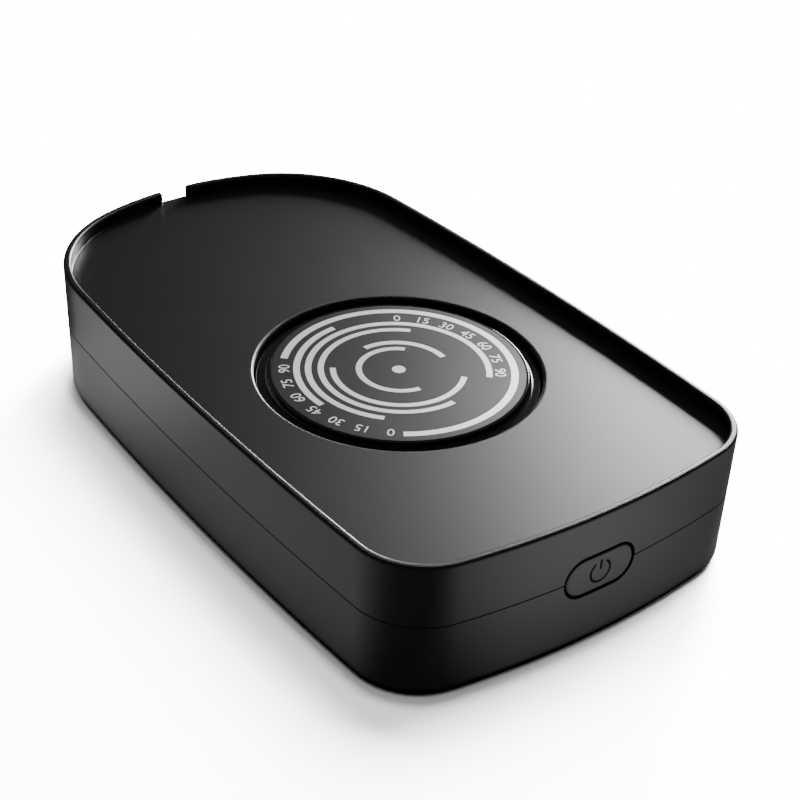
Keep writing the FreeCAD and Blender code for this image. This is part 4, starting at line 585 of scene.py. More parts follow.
def node(tree, kind, inputs=None, **values):
    """A node with values set on it. Its inputs take values, sockets or the first output of a node."""
    made = tree.nodes.new(kind)
    for key, value in values.items():
        setattr(made, key, value)
    for key, value in (inputs or {}).items():
        if isinstance(value, bpy.types.Node):
            value = value.outputs[0]
        if isinstance(value, bpy.types.NodeSocket):
            tree.links.new(value, made.inputs[key])
        else:
            made.inputs[key].default_value = value
    return made


def calc(tree, operation, *values, **options):
    """A Math node on the values."""
    return node(tree, "ShaderNodeMath", dict(enumerate(values)), operation=operation, **options)


def emptied(holder):
    """The node tree of a new material or world, without nodes."""
    holder.use_nodes = True
    holder.node_tree.nodes.clear()
    return holder.node_tree


def group_tree(name, inputs):
    """A shader node group with named inputs, given as (name, kind, default), that makes a finish."""
    tree = bpy.data.node_groups.new(name, "ShaderNodeTree")
    for label, kind, default in inputs:
        tree.interface.new_socket(name=label, in_out="INPUT", socket_type=kind).default_value = default
    for label, kind in (("Color", "NodeSocketColor"), ("Roughness", "NodeSocketFloat"),
                        ("Height", "NodeSocketFloat")):
        tree.interface.new_socket(name=label, in_out="OUTPUT", socket_type=kind)
    entry = tree.nodes.new("NodeGroupInput").outputs
    return tree, entry, node(tree, "ShaderNodeTexCoord").outputs["Object"]


def vary(tree, entry, pattern, tint, height):
    """Let a pattern swing the roughness and the colour of a finish, and give the group its outputs."""
    swing = node(tree, "ShaderNodeMapRange",
                 {"Value": pattern, "From Min": 0.3, "From Max": 0.7, "To Min": -1.0, "To Max": 1.0})
    step = calc(tree, "MULTIPLY", swing, entry["Variation"])
    lift = calc(tree, "ADD", calc(tree, "MULTIPLY", swing, entry[tint]), 1.0)
    node(tree, "NodeGroupOutput", {
        "Color": node(tree, "ShaderNodeVectorMath", {0: entry["Color"], "Scale": lift}, operation="SCALE"),
        "Roughness": calc(tree, "ADD", entry["Roughness"], step, use_clamp=True),
        "Height": height})


def moulded_group():
    """Fine spark texture of a moulded plastic: small pits, and a gloss that varies with them."""
    tree, entry, place = group_tree(MOULDED, [
        ("Grain Size", "NodeSocketFloat", 0.00016), ("Depth", "NodeSocketFloat", 0.006),
        ("Roughness", "NodeSocketFloat", 0.4), ("Variation", "NodeSocketFloat", 0.06),
        ("Color", "NodeSocketColor", (0.02, 0.02, 0.02, 1.0)), ("Tint", "NodeSocketFloat", 0.08)])
    pitch = calc(tree, "DIVIDE", 1.0, entry["Grain Size"])
    grain = node(tree, "ShaderNodeTexNoise", {"Vector": place, "Scale": pitch, "Detail": 3.0, "Roughness": 0.62})
    pits = node(tree, "ShaderNodeTexVoronoi", {"Vector": place, "Scale": pitch}, feature="SMOOTH_F1")
    cloudy = node(tree, "ShaderNodeTexNoise", {"Vector": place, "Scale": CLOUDS_PER_METRE, "Detail": 4.0})
    height = calc(tree, "MULTIPLY", calc(tree, "ADD", grain, pits), entry["Depth"])
    vary(tree, entry, cloudy, "Tint", height)
    return tree


def machined_group():
    """Fine scratches of a machined or brushed metal round the upright axis."""
    tree, entry, place = group_tree(MACHINED, [
        ("Roughness", "NodeSocketFloat", 0.3), ("Variation", "NodeSocketFloat", 0.1),
        ("Color", "NodeSocketColor", (0.5, 0.5, 0.5, 1.0))])
    stretch = node(tree, "ShaderNodeMapping", {"Vector": place, "Scale": SCRATCHES_PER_METRE})
    scratches = node(tree, "ShaderNodeTexNoise", {"Vector": stretch, "Scale": 1.0, "Detail": 3.0})
    vary(tree, entry, scratches, "Variation", calc(tree, "MULTIPLY", scratches, SCRATCH_DEPTH))
    return tree


def finish(name):
    """The material of a finish, made when it is first asked for."""
    label = FINISH_PREFIX + name
    return bpy.data.materials.get(label) or make_finish(name, label)


def make_finish(name, label):
    """A new material of a finish."""
    colour = (*getattr(bpy.context.scene.jiggler_finish, name), 1.0)
    if name in MACHINED_FINISHES:
        group = bpy.data.node_groups.get(MACHINED) or machined_group()
        roughness, swing = MACHINED_FINISHES[name]
        inputs = {"Color": colour, "Roughness": roughness, "Variation": swing}
        metallic = 1.0
    else:
        group = bpy.data.node_groups.get(MOULDED) or moulded_group()
        grain, depth, roughness, swing, tint = MOULDED_FINISHES[name]
        inputs = {"Color": colour, "Roughness": roughness, "Variation": swing, "Grain Size": grain * MM,
                  "Depth": depth * MM, "Tint": tint}
        metallic = METALLIC.get(name, 0.0)
    material = bpy.data.materials.new(label)
    tree = emptied(material)
    texture = node(tree, "ShaderNodeGroup", inputs, node_tree=group).outputs
    bump = node(tree, "ShaderNodeBump", {"Height": texture["Height"], "Strength": 1.0, "Distance": 1.0})
    shader = node(tree, "ShaderNodeBsdfPrincipled", {
        "Base Color": texture["Color"], "Roughness": texture["Roughness"], "Metallic": metallic, "Normal": bump,
        "Specular IOR Level": GLOSS.get(name, PLAIN_GLOSS)})
    node(tree, "ShaderNodeOutputMaterial", {"Surface": shader})
    return material


# ---------------------------------------------------------------- shells

OUTER_EDGE_SHARE = 0.5           # parts of a narrowing rim's width that its edges may take
INNER_EDGE_SHARE = 0.36
FILLET_POINTS = FILLET_STEPS + 2  # points of the rim's section from the fillet to the tray
SIDE_DROPS = (4.0 * MM, 2.0 * MM, 0.6 * MM)      # lines on the cover's side, below the tray
SIDE_RISES = (7.0 * MM, 4.0 * MM, 1.5 * MM)      # lines on the case's side, above its lower edge


def rim_profile(housing, line):
    """The part of the cover's profile over the tray's height, from the outside to the tray."""
    level, top = tray_z(housing), rim_top()
    support = housing.support
    width = housing.rim_thickness
    side = lean(housing, level)
    far = (width + side + housing.foot_fillet + support, level)
    if line.notch is not None and line.notch < 0:
        start = side + housing.notch_outer_round
        end = width + side - housing.notch_inner_round
        steps = 2 + 2 * (EDGE_STEPS + 1)
        flat = [(start + (end - start) * step / steps, level) for step in range(steps)]
        return flat + [(end, level)] * FILLET_POINTS + [far]
    past = housing.notch_inner_round if line.notch is None else line.notch
    outside = rounded(housing.notch_outer_round, past)
    inside = rounded(housing.notch_inner_round, past)
    top -= rounded(housing.rim_inner_round, past)
    room = width - outside - inside
    outer_edge = min(housing.rim_outer_round, room * OUTER_EDGE_SHARE)
    inner_edge = min(housing.rim_inner_round, room * INNER_EDGE_SHARE)
    fillet = housing.foot_fillet * min(1.0, past / housing.notch_inner_round)
    knee = top - outer_edge
    outer = lean(housing, knee) + outside
    profile = leaning(housing, (level, knee - support), outside)
    profile += bend((outer, knee), (outer + outer_edge, top), EDGE_STEPS, upright=True)
    knee = top - inner_edge
    crest = width + lean(housing, knee) - inside
    profile += bend((crest - inner_edge, top), (crest, knee), EDGE_STEPS)
    profile += leaning(housing, (knee - support,), width - inside)
    foot = width + side - inside
    profile += bend((foot, level + fillet), (foot + fillet, level), FILLET_STEPS, upright=True)
    return profile + [far]


def cover_section(scene, line):
    """The whole section of the cover on one line: seam, wall, rim, tray, well, deck, lip rebate."""
    housing, turntable = scene.jiggler_housing, scene.jiggler_turntable
    seam = housing.parting_z + max(housing.seam_gap, line.half_open(scene))
    chamfer = housing.seam_chamfer
    level = tray_z(housing)
    if line.notch is None:
        sill = 0.0
    elif line.notch < 0:
        sill = housing.sill_round
    else:
        sill = min(housing.sill_round, rounded(housing.notch_outer_round, line.notch))
    heights = [seam + chamfer, seam + 3 * chamfer, *(level - drop for drop in SIDE_DROPS), level - sill]
    profile = leaning(housing, (seam,), chamfer) + leaning(housing, heights) + leaning(housing, (level,), sill)
    points = line.points(profile + rim_profile(housing, line))

    well, lip = turntable.well_radius, turntable.well_round
    collar = well + turntable.collar_wall
    flange_low = cad_box("turntable_disc")[1].z - turntable.disc_step - turntable.flange_thickness
    deck = level - housing.deck_thickness
    profile = [(well + lip + housing.support, level), *bend((well + lip, level), (well, level - lip), EDGE_STEPS),
               (well, level - lip - housing.support), (well, flange_low), (collar, flange_low), (collar, deck)]
    middle = Vector((0, turntable.centre_y))
    outward = (line.at(housing.rim_thickness) - middle).normalized()
    points += [(middle + outward * radius).to_3d() + Vector((0, 0, z)) for radius, z in profile]

    rebate_top = max(housing.parting_z + housing.lip_height + housing.lip_clearance, seam)
    points += line.points(leaning(housing, (deck, rebate_top), housing.wall)
                          + leaning(housing, (rebate_top, seam), housing.lip_inset - housing.lip_clearance))
    return points


def case_section(scene, line):
    """The section of the bottom case on one line: floor, wall, lip, seam, outside, lower edge."""
    housing = scene.jiggler_housing
    half_open = line.half_open(scene)
    seam = housing.parting_z - max(housing.seam_gap, half_open)
    chamfer = housing.seam_chamfer
    lip_top = seam if half_open > housing.seam_gap else housing.parting_z + housing.lip_height
    low, edge = housing.bottom_z, housing.bottom_round
    side = lean(housing, low + edge)
    heights = [seam - chamfer, seam - 3 * chamfer,
               *(min(low + rise + edge, seam - 4 * chamfer) for rise in SIDE_RISES), low + edge + housing.support]
    return line.points(
        leaning(housing, (housing.floor_z, lip_top), housing.wall)
        + leaning(housing, (lip_top, seam), housing.lip_inset)
        + leaning(housing, (seam,), chamfer) + leaning(housing, heights)
        + bend((side, low + edge), (side + edge, low), BROAD_STEPS, upright=True)
        + [(side + edge + housing.support, low)])


def node_places(name):
    """The middles of the four solids of a CAD node, seen from above, one in each quarter."""
    low, high = cad_box(name)
    middle = (high + low) / 2
    found = []
    for side_y in (-1, 1):
        for side_x in (-1, 1):
            near = [vert.co for vert in frame["nodes"][name].data.vertices
                    if (vert.co.x - middle.x) * side_x > 0 and (vert.co.y - middle.y) * side_y > 0]
            xs = [co.x for co in near]
            ys = [co.y for co in near]
            found.append(((min(xs) + max(xs)) / 2, (min(ys) + max(ys)) / 2))
    return found


class JIGGLER_OT_top_cover(bpy.types.Operator):
    """Upper shell: leaning walls, raised rim with its cable notch, tray and round well"""
    bl_idname = "jiggler.top_cover"
    bl_label = "Top cover"

    def execute(self, context):
        sections = [cover_section(context.scene, line) for line in housing_lines(context.scene)]
        rings = list(zip(*sections))
        bm = bmesh.new()
        skinned(bm, rings + rings[:1])
        piece("top_cover_shell", bm, "base", "housing", ["top_cover"])
        return {"FINISHED"}


class JIGGLER_OT_bottom_case(bpy.types.Operator):
    """Lower shell: walls, lip, rounded lower edge, foot recesses and screw bores"""
    bl_idname = "jiggler.bottom_case"
    bl_label = "Bottom case"

    def execute(self, context):
        housing, under = context.scene.jiggler_housing, context.scene.jiggler_underside
        lines = [line for line in housing_lines(context.scene) if line.notch is None or line.notch >= 0]
        bm = bmesh.new()
        floor_ring, under_ring = skinned(bm, list(zip(*(case_section(context.scene, line) for line in lines))))
        feet = [(place, under.foot_radius + under.foot_gap, under.foot_recess)
                for place in node_places("rubber_feet")]
        places = node_places("case_screws")
        bores = [(place, under.bore_radius, under.bore_depth) for place in places]
        posts = [(place, under.post_radius, under.bore_depth) for place in places]
        edge_break = under.bore_chamfer
        recessed(bm, under_ring, housing.bottom_z, feet + bores, edge_break, edge_break, (0, 0, -1))
        recessed(bm, floor_ring, housing.floor_z, posts, edge_break, 0.0, (0, 0, 1))
        piece("bottom_case_shell", bm, "base", "housing", ["bottom_case"])
        return {"FINISHED"}


# ---------------------------------------------------------------- turntable

# The printed arcs: radius and width in millimetres, then where each starts and ends in degrees
PRINT_ARCS = (
    (7.3, 1.1, 45.0, 265.0),
    (9.5, 1.15, -5.0, 95.0),
    (12.0, 1.1, 145.0, 315.0),
    (14.2, 1.1, 45.0, 277.0),
    (16.5, 1.15, -42.0, 225.0),
    (18.6, 1.2, 95.0, 187.0),
    (21.15, 1.35, -124.0, 137.0),
)
ARC_DEGREES = 2.5                # length of one straight of a printed arc
PRINT_DOT = 1.25 * MM            # radius of the dot in the middle
# The printed scales: radius of the figures' feet in millimetres, first and last angle
PRINT_SCALES = ((17.55, 55.0, -36.0), (19.85, 230.0, 147.0))
FIGURES = ("0", "15", "30", "45", "60", "75", "90")


def figure_mesh(text, height, thickness):
    """The mesh of a few figures, centred on X with their feet at Y = 0, on Z = 0."""
    curve = bpy.data.curves.new("figures", "FONT")
    curve.body = text
    curve.size = height
    curve.align_x = "CENTER"
    curve.extrude = thickness / 2
    holder = bpy.data.objects.new("figures", curve)
    mesh = bpy.data.meshes.new_from_object(holder)
    bpy.data.objects.remove(holder)
    bpy.data.curves.remove(curve)
    return mesh


def slab(inner, outer, low, high):
    """The profile of a flat ring."""
    return [(inner, low), (outer, low), (outer, high), (inner, high)]


class JIGGLER_OT_turntable(bpy.types.Operator):
    """Disc with its flange, turned from its section"""
    bl_idname = "jiggler.turntable"
    bl_label = "Turntable disc"

    def execute(self, context):
        t = context.scene.jiggler_turntable
        top = cad_box("turntable_disc")[1].z
        flange_top = top - t.disc_step
        flange_low = flange_top - t.flange_thickness
        seat = t.disc_radius - t.film_margin
        film_z = top - t.film_thickness
        edge, fillet, disc, flange = t.flange_round, t.flange_fillet, t.disc_radius, t.flange_radius
        profile = [(0, flange_low), (flange - edge, flange_low), (flange, flange_low + edge)]
        profile += bend((flange, flange_top - edge), (flange - edge, flange_top), EDGE_STEPS, upright=True)
        profile += [(flange - 2 * edge, flange_top), (disc + fillet + edge / 2, flange_top)]
        profile += bend((disc + fillet, flange_top), (disc, flange_top + fillet), BROAD_STEPS)
        profile += bend((disc, top - t.disc_round), (disc - t.disc_round, top), EDGE_STEPS, upright=True)
        profile += [(seat + t.film_round, top), (seat, top - t.film_round), (seat, film_z), (0, film_z)]
        bm = bmesh.new()
        spun(bm, profile, t.centre_y)
        piece("turntable_body", bm, "turntable", "turntable_gloss", ["turntable_disc"])
        return {"FINISHED"}


class JIGGLER_OT_disc_face(bpy.types.Operator):
    """Printed film on the disc: rings, dot and two scales of plain figures"""
    bl_idname = "jiggler.disc_face"
    bl_label = "Printed face"

    def execute(self, context):
        t = context.scene.jiggler_turntable
        top = cad_box("disc_face")[1].z
        radius = t.disc_radius - t.film_margin - t.film_gap
        film_z = top - t.film_thickness
        bm = bmesh.new()
        spun(bm, [(0, film_z), (radius, film_z), (radius, top - t.film_round), (radius - t.film_round, top),
                  (radius - t.disc_round, top), (0, top)], t.centre_y)
        piece("face_film", bm, "turntable", "face_film", ["disc_face"])

        ink_top = top + t.ink_thickness
        bm = bmesh.new()
        for arc_radius, width, start, end in PRINT_ARCS:
            profile = slab((arc_radius - width / 2) * MM, (arc_radius + width / 2) * MM, top, ink_top)
            spun(bm, profile, t.centre_y, math.radians(start), math.radians(end), round((end - start) / ARC_DEGREES))
        spun(bm, slab(0, PRINT_DOT, top, ink_top), t.centre_y, steps=CIRCLE_STEPS)
        centre = Matrix.Translation((0, t.centre_y, top + t.ink_thickness / 2))
        for foot, first, last in PRINT_SCALES:
            for index, figure in enumerate(FIGURES):
                degrees = first + (last - first) * index / (len(FIGURES) - 1)
                turned = Matrix.Rotation(math.radians(degrees - 90.0), 4, "Z")
                mesh = figure_mesh(figure, t.figure_height, t.ink_thickness)
                mesh.transform(centre @ turned @ Matrix.Translation((0, foot * MM, 0)))
                bm.from_mesh(mesh)
                bpy.data.meshes.remove(mesh)
        piece("face_print", bm, "turntable", "face_film", look="ink")
        return {"FINISHED"}


# ---------------------------------------------------------------- power button

BUTTON_RINGS = (0.0, 0.3, 0.6)   # parts of the button's radius where its face has rings
SYMBOL_STEPS = 40


def bow_y(housing, x, z):
    """The front face's Y at a place on it."""
    radius = housing.front_bow_radius
    reach = radius - lean(housing, z)
    return -housing.length / 2 + radius - math.sqrt(reach ** 2 - x ** 2)


class JIGGLER_OT_power_button(bpy.types.Operator):
    """Push button that follows the bow of the front, with its printed power symbol"""
    bl_idname = "jiggler.power_button"
    bl_label = "Power button"

    def execute(self, context):
        housing, button = context.scene.jiggler_housing, context.scene.jiggler_button
        radius = button.height / 2
        reach = (button.width - button.height) / 2
        edge = button.edge_round
        behind = cad_box("switch_plunger")[0].y - button.plunger_gap
        flange_front = behind - button.flange_thickness

        def ring(ring_radius, sunk, y=None):
            places = [(x, housing.parting_z + rise) for x, rise in stadium_ring(reach, ring_radius)]
            return [Vector((x, bow_y(housing, x, z) + sunk if y is None else y, z)) for x, z in places]

        profile = [(radius * part, 0) for part in BUTTON_RINGS] + [(radius - edge - housing.support, 0)]
        profile += bend((radius - edge, 0), (radius, edge), EDGE_STEPS) + [(radius, edge + housing.support)]
        wide = radius + button.flange_overhang
        rings = [ring(*point) for point in profile]
        rings += [ring(radius, 0, flange_front), ring(wide, 0, flange_front), ring(wide, 0, behind),
                  ring(0.0, 0, behind)]
        bm = bmesh.new()
        skinned(bm, rings)
        piece("button_cap", bm, "button", "button_plastic", ["power_button"])

        bm = bmesh.new()
        self.symbol(bm, housing, button)
        piece("button_symbol", bm, "button", "button_plastic", look="symbol_ink")
        return {"FINISHED"}

    def symbol(self, bm, housing, button):
        """The ring and the bar of the power symbol, as print on the bow."""
        inner = button.symbol_radius - button.symbol_line / 2
        outer = button.symbol_radius + button.symbol_line / 2
        gap, thickness = button.symbol_gap, button.symbol_thickness
        spun(bm, slab(inner, outer, 0.0, thickness), 0.0, math.pi / 2 + gap, math.pi / 2 + 2 * math.pi - gap,
             SYMBOL_STEPS)
        block(bm, (button.symbol_line, button.symbol_bar, thickness),
              (0, outer - button.symbol_bar / 2, thickness / 2))
        for vert in bm.verts:
            x, rise, proud = vert.co
            z = housing.parting_z + rise
            vert.co = Vector((x, bow_y(housing, x, z) + button.symbol_sink - proud, z))


# ---------------------------------------------------------------- underside

CROSS_TAPER = 0.7                # size of the cross at its depth, as a part of that at the head's face
FOOT_EDGE_STEPS = 4


class JIGGLER_OT_feet(bpy.types.Operator):
    """Four round rubber feet with a softened lower edge"""
    bl_idname = "jiggler.feet"
    bl_label = "Rubber feet"

    def execute(self, context):
        under = context.scene.jiggler_underside
        low, high = cad_box("rubber_feet")
        bm = bmesh.new()
        for x, y in node_places("rubber_feet"):
            place = Matrix.Translation((x, y, (low.z + high.z) / 2))
            made = bmesh.ops.create_cone(bm, cap_ends=True, segments=CIRCLE_STEPS, radius1=under.foot_radius,
                                         radius2=under.foot_radius, depth=high.z - low.z, matrix=place)
            verts = set(made["verts"])
            bevelled(bm, [edge for edge in bm.edges if verts.issuperset(edge.verts)
                          and max(vert.co.z for vert in edge.verts) < low.z + MERGE],
                     under.foot_round, FOOT_EDGE_STEPS)
        piece("rubber_feet_set", bm, "base", "foot_rubber", ["rubber_feet"])
        return {"FINISHED"}


class JIGGLER_OT_case_screws(bpy.types.Operator):
    """Pan-head screws with a cross recess, deep in the underside"""
    bl_idname = "jiggler.case_screws"
    bl_label = "Case screws"

    def execute(self, context):
        low, high = cad_box("case_screws")
        bm = bmesh.new()
        for place in node_places("case_screws"):
            self.screw(bm, context.scene.jiggler_underside, place, low.z, high.z)
        piece("case_screw_set", bm, "base", "screw_steel", ["case_screws"])
        return {"FINISHED"}

    def screw(self, bm, under, place, low, high):
        """One screw that points upwards, with its head's face at height low."""
        radius, crown, seat = under.head_radius, under.head_crown, low + under.head_height
        profile = bend((radius - crown, low), (radius, low + crown), EDGE_STEPS)
        profile += [(radius, seat), (under.shank_radius, seat), (under.shank_radius, high)]
        first, last = skinned(bm, [circle_points(place, *point) for point in profile])
        capped(bm, last)
        a, b = under.cross_reach, under.cross_width
        arm = [(a, -b), (a, b), (b, b)]
        corners = arm + [(-y, x) for x, y in arm] + [(-x, -y) for x, y in arm] + [(y, -x) for x, y in arm]

        def cross(part, z):
            return [Vector((place[0] + part * x, place[1] + part * y, z)) for x, y in corners]

        ring = ring_of_vertices(bm, cross(1.0, low))
        holed_face(bm, first, [ring], (0, 0, -1))
        capped(bm, extruded_ring(bm, ring, cross(CROSS_TAPER, low + under.cross_depth)))


# ---------------------------------------------------------------- inlet

class JIGGLER_OT_inlet(bpy.types.Operator):
    """Steel shell of the USB-C inlet with its rolled mouth, and the tongue in it"""
    bl_idname = "jiggler.inlet"
    bl_label = "USB-C inlet"

    def execute(self, context):
        inlet = context.scene.jiggler_inlet
        low, high = cad_box("usb_shell")
        middle = (low.z + high.z) / 2
        reach = (inlet.width - inlet.height) / 2
        outer = inlet.height / 2
        inner = outer - inlet.wall
        lip = inlet.lip_round

        def rings(*profile):
            return [[Vector((x, y, middle + rise)) for x, rise in stadium_ring(reach, radius)]
                    for radius, y in profile]

        shell = rings((inner, low.y), (outer, low.y), (outer, high.y - lip), (outer - lip, high.y),
                      (inner + lip, high.y), (inner, high.y - lip))
        bm = bmesh.new()
        skinned(bm, shell + shell[:1])
        piece("inlet_shell", bm, "base", "bright_steel", ["usb_shell"])

        start, tip = (corner.y for corner in cad_box("usb_tongue"))
        front = start + inlet.base_depth
        length = tip - start - inlet.tongue_start
        bm = bmesh.new()
        skinned(bm, rings((0.0, start), (inner, start), (inner, front), (0.0, front)))
        tongue = block(bm, (inlet.tongue_width, length, inlet.tongue_height), (0, tip - length / 2, middle))
        bevelled(bm, list({edge for vert in tongue for edge in vert.link_edges}), inlet.tongue_edge, 2)
        piece("inlet_tongue", bm, "base", "chip_body", ["usb_tongue"])
        return {"FINISHED"}


# ---------------------------------------------------------------- pieces that keep their own shape

class JIGGLER_OT_inner_parts(bpy.types.Operator):
    """Finishes for the gears, motor, boards and fasteners inside the housing"""
    bl_idname = "jiggler.inner_parts"
    bl_label = "Inner parts"

    def execute(self, context):
        for row in frame["record"]["subparts"]:
            obj = frame["nodes"][row["node"]]
            if not obj.hide_render:
                obj.data.materials.clear()
                obj.data.materials.append(finish(row["material_slot"]))
        return {"FINISHED"}


# ---------------------------------------------------------------- stage

# Soft lights: name, place and target in metres, width and height in metres, strength in watts, and whether
# they show in reflections
LIGHTS = (
    ("key_light", (0.5668, 0.3614, 0.1996), (0.0, -0.01, 0.024), 0.1936, 0.2929, 12.8, True),
    ("sky_light", (0.437, 0.268, 0.856), (0.0, -0.01, 0.0), 0.62, 0.62, 20.0, False),
    ("top_light", (0.0, -0.01, 1.0), (0.0, -0.01, 0.0), 0.08, 0.08, 1.0, False),
)
WHITE = (1.0, 1.0, 1.0, 1.0)
# Painted reflections: how brightly the floor glows in reflections, which paints light and dark on the housing: axis,
# start and end in metres, value before and after
PAINTED_REFLECTION_BANDS = {
    "front along": ("Y", -0.094, -0.068, 1.45, 0.5),
    "front across": ("X", 0.010, 0.062, 1.0, 0.5),
    "left along": ("Y", 0.012, 0.048, 0.58, 1.2),
    "left across": ("X", -0.053, -0.041, 1.1, 0.72),
    "to the left": ("X", -0.040, -0.032, 1.0, 0.0),
    "beside along": ("Y", -0.060, -0.048, 0.0, 0.9),
    "beside across": ("X", 0.036, 0.042, 0.0, 1.0),
    "behind along": ("Y", 0.060, 0.075, 0.0, 0.9),
    "behind across": ("X", -0.050, -0.042, 0.0, 1.0),
    "beyond": ("Y", 0.078, 0.095, 0.0, 0.9),
}
NEAR_CORNER_PAINTED_DARK = (math.radians(25), math.radians(80), 0.2, 1.0)     # the same, by the angle off the near corner: a painted dark reflection in front of it
CONTACT_PAINTED_SHADE = (0.32, 0.50, 0.0, 1.0)            # the same, by how open the floor lies: painted contact shade in the floor's colour for the camera
FOOT_PAINTED_SHADE = (0.45, 0.85, 0.0, 1.0)               # and for reflections: painted shade near the object's foot


def ramp(tree, value, start, end, low, high):
    """A soft change from low to high between two values."""
    return node(tree, "ShaderNodeMapRange", {"Value": value, "From Min": start, "From Max": end,
                                             "To Min": low, "To Max": high}, interpolation_type="SMOOTHSTEP")


def mixed(tree, factor, first, second):
    """One shader where the factor is 0, and another where it is 1."""
    return node(tree, "ShaderNodeMixShader", {0: factor, 1: first, 2: second})


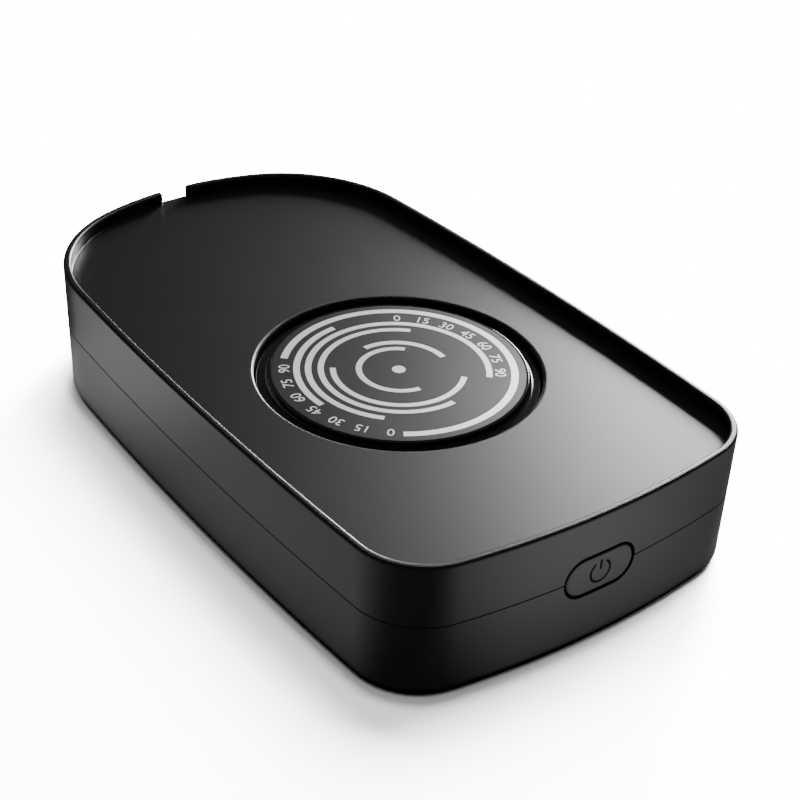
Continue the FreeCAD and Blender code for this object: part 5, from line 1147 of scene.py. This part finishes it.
class JIGGLER_OT_stage(bpy.types.Operator):
    """White floor, soft lights and the camera"""
    bl_idname = "jiggler.stage"
    bl_label = "Stage"

    def execute(self, context):
        stage = context.scene.jiggler_stage
        self.floor(context, stage)
        self.lights(context)
        self.camera(context, stage)
        self.room(context, stage)
        return {"FINISHED"}

    def room(self, context, stage):
        """A dim room that is white to the camera."""
        world = bpy.data.worlds.new("room")
        tree = emptied(world)
        dim = node(tree, "ShaderNodeBackground",
                   {"Color": (*stage.world_colour, 1.0), "Strength": stage.world_strength})
        white = node(tree, "ShaderNodeBackground", {"Color": WHITE, "Strength": stage.white_level})
        path = node(tree, "ShaderNodeLightPath").outputs
        node(tree, "ShaderNodeOutputWorld", {"Surface": mixed(tree, path["Is Camera Ray"], dim, white)})
        context.scene.world = world

    def floor(self, context, stage):
        """A wide white floor, whose material holds painted shade and painted reflections."""
        bm = bmesh.new()
        bmesh.ops.create_grid(bm, x_segments=1, y_segments=1, size=stage.floor_half)
        mesh = bpy.data.meshes.new("floor")
        bm.to_mesh(mesh)
        bm.free()
        mesh.materials.append(self.floor_material(stage))
        floor = bpy.data.objects.new("floor", mesh)
        context.scene.collection.objects.link(floor)

    def floor_material(self, stage):
        """White for the camera, darkened there by painted contact shade. To reflections it glows with painted light,
        though it is no lamp. The glow is dark in front of the near corner and around, and it paints the reflections
        on the housing.
        """
        material = bpy.data.materials.new("floor_white")
        tree = emptied(material)
        path = node(tree, "ShaderNodeLightPath").outputs
        place = node(tree, "ShaderNodeTexCoord").outputs["Object"]
        openness = node(tree, "ShaderNodeAmbientOcclusion", {"Distance": stage.contact_reach}).outputs["AO"]

        plain = node(tree, "ShaderNodeBsdfDiffuse", {"Color": (*stage.floor_colour, 1.0)})
        bright = [channel * stage.floor_lift for channel in stage.floor_colour]
        # Painted contact shadow: the lifted floor colour is darkened where the object encloses the floor
        lifted_with_painted_shade = node(tree, "ShaderNodeVectorMath", {0: bright, "Scale": ramp(tree, openness, *CONTACT_PAINTED_SHADE)},
                      operation="SCALE")
        away = node(tree, "ShaderNodeVectorMath", {0: place}, operation="LENGTH").outputs["Value"]
        shown = mixed(tree, ramp(tree, away, stage.white_from, 2 * stage.white_from, 0.0, 1.0),
                      node(tree, "ShaderNodeBsdfDiffuse", {"Color": lifted_with_painted_shade}),
                      node(tree, "ShaderNodeEmission", {"Color": WHITE, "Strength": stage.white_level}))

        corner = (stage.near_corner_x, stage.near_corner_y, 0.0)
        from_corner = node(tree, "ShaderNodeVectorMath", {0: place, 1: corner}, operation="SUBTRACT")
        parts = node(tree, "ShaderNodeSeparateXYZ", {0: from_corner}).outputs
        angle = calc(tree, "SUBTRACT", calc(tree, "ARCTAN2", parts["Y"], parts["X"]), stage.azimuth - math.pi / 2)
        off = calc(tree, "ABSOLUTE", calc(tree, "WRAP", angle, math.pi, -math.pi))
        spot = node(tree, "ShaderNodeSeparateXYZ", {0: place}).outputs
        band = {name: ramp(tree, spot[axis], *ends) for name, (axis, *ends) in PAINTED_REFLECTION_BANDS.items()}

        def crossed(name):
            return calc(tree, "MULTIPLY", band[name + " along"], band[name + " across"])

        painted_reflection_patches = node(tree, "ShaderNodeMix", {0: band["to the left"], 2: crossed("front"), 3: crossed("left")})
        painted_reflection_light = calc(tree, "MULTIPLY", ramp(tree, off, *NEAR_CORNER_PAINTED_DARK), painted_reflection_patches)
        around = calc(tree, "MAXIMUM", crossed("beside"), crossed("behind"))
        quiet = calc(tree, "MAXIMUM", around, band["beyond"])
        kept = calc(tree, "MULTIPLY", calc(tree, "SUBTRACT", 1.0, quiet), ramp(tree, openness, *FOOT_PAINTED_SHADE))
        # Painted reflections: to glossy rays the floor glows, though it is no lamp, with this painted pattern and
        # painted shade near the foot
        painted_reflection_glow = node(tree, "ShaderNodeEmission", {"Color": WHITE, "Strength": calc(tree, "MULTIPLY", painted_reflection_light, kept)})
        seen = mixed(tree, path["Is Camera Ray"], plain, shown)
        node(tree, "ShaderNodeOutputMaterial", {"Surface": mixed(tree, path["Is Glossy Ray"], seen, painted_reflection_glow)})
        return material

    def lights(self, context):
        """The soft boxes, each turned towards its target."""
        for name, place, target, width, height, watts, mirrored in LIGHTS:
            lamp = bpy.data.lights.new(name, "AREA")
            lamp.shape = "RECTANGLE"
            lamp.size = width
            lamp.size_y = height
            lamp.energy = watts
            obj = bpy.data.objects.new(name, lamp)
            aim = (Vector(target) - Vector(place)).to_track_quat("-Z", "Y")
            obj.matrix_world = Matrix.Translation(place) @ aim.to_matrix().to_4x4()
            obj.visible_camera = False
            obj.visible_glossy = mirrored
            context.scene.collection.objects.link(obj)

    def camera(self, context, stage):
        """The camera, turned about its target and rolled about its view."""
        azimuth, elevation, roll = stage.azimuth, stage.elevation, stage.roll
        back = Vector((math.sin(azimuth) * math.cos(elevation), -math.cos(azimuth) * math.cos(elevation),
                       math.sin(elevation)))
        level_right = Vector((0, 0, 1)).cross(back).normalized()
        level_up = back.cross(level_right)
        right = level_right * math.cos(roll) + level_up * math.sin(roll)
        up = level_up * math.cos(roll) - level_right * math.sin(roll)
        target = Vector((stage.target_x, stage.target_y, stage.target_z))
        view = bpy.data.cameras.new("view")
        view.sensor_width = 36.0
        view.lens = stage.lens
        view.clip_start = 0.01
        camera = bpy.data.objects.new("view", view)
        turned = Matrix((right, up, back)).transposed().to_4x4()
        camera.matrix_world = Matrix.Translation(target + back * stage.distance) @ turned
        context.scene.collection.objects.link(camera)
        context.scene.camera = camera


# ---------------------------------------------------------------- panel and registration

OPERATORS = (
    JIGGLER_OT_bottom_case,
    JIGGLER_OT_top_cover,
    JIGGLER_OT_turntable,
    JIGGLER_OT_disc_face,
    JIGGLER_OT_power_button,
    JIGGLER_OT_feet,
    JIGGLER_OT_case_screws,
    JIGGLER_OT_inlet,
    JIGGLER_OT_inner_parts,
    JIGGLER_OT_stage,
)


class JIGGLER_PT_panel(bpy.types.Panel):
    """Lists the pieces of the mouse jiggler"""
    bl_idname = "JIGGLER_PT_panel"
    bl_label = "Mouse jiggler"
    bl_space_type = "VIEW_3D"
    bl_region_type = "UI"
    bl_category = "Jiggler"

    def draw(self, context):
        for operator in OPERATORS:
            self.layout.operator(operator.bl_idname)


CLASSES = tuple(SETTINGS.values()) + OPERATORS + (JIGGLER_PT_panel,)


def register():
    """Register the classes and hang the settings on the scene."""
    for item in CLASSES:
        bpy.utils.register_class(item)
    for name, group in SETTINGS.items():
        setattr(bpy.types.Scene, name, PointerProperty(type=group))


def unregister():
    """Take the settings off the scene and unregister the classes."""
    for name in SETTINGS:
        delattr(bpy.types.Scene, name)
    for item in reversed(CLASSES):
        bpy.utils.unregister_class(item)


def main():
    """Dress the object and set the stage."""
    register()
    for operator in OPERATORS:
        category, name = operator.bl_idname.split(".")
        getattr(getattr(bpy.ops, category), name)()


if __name__ == "__main__":
    main()
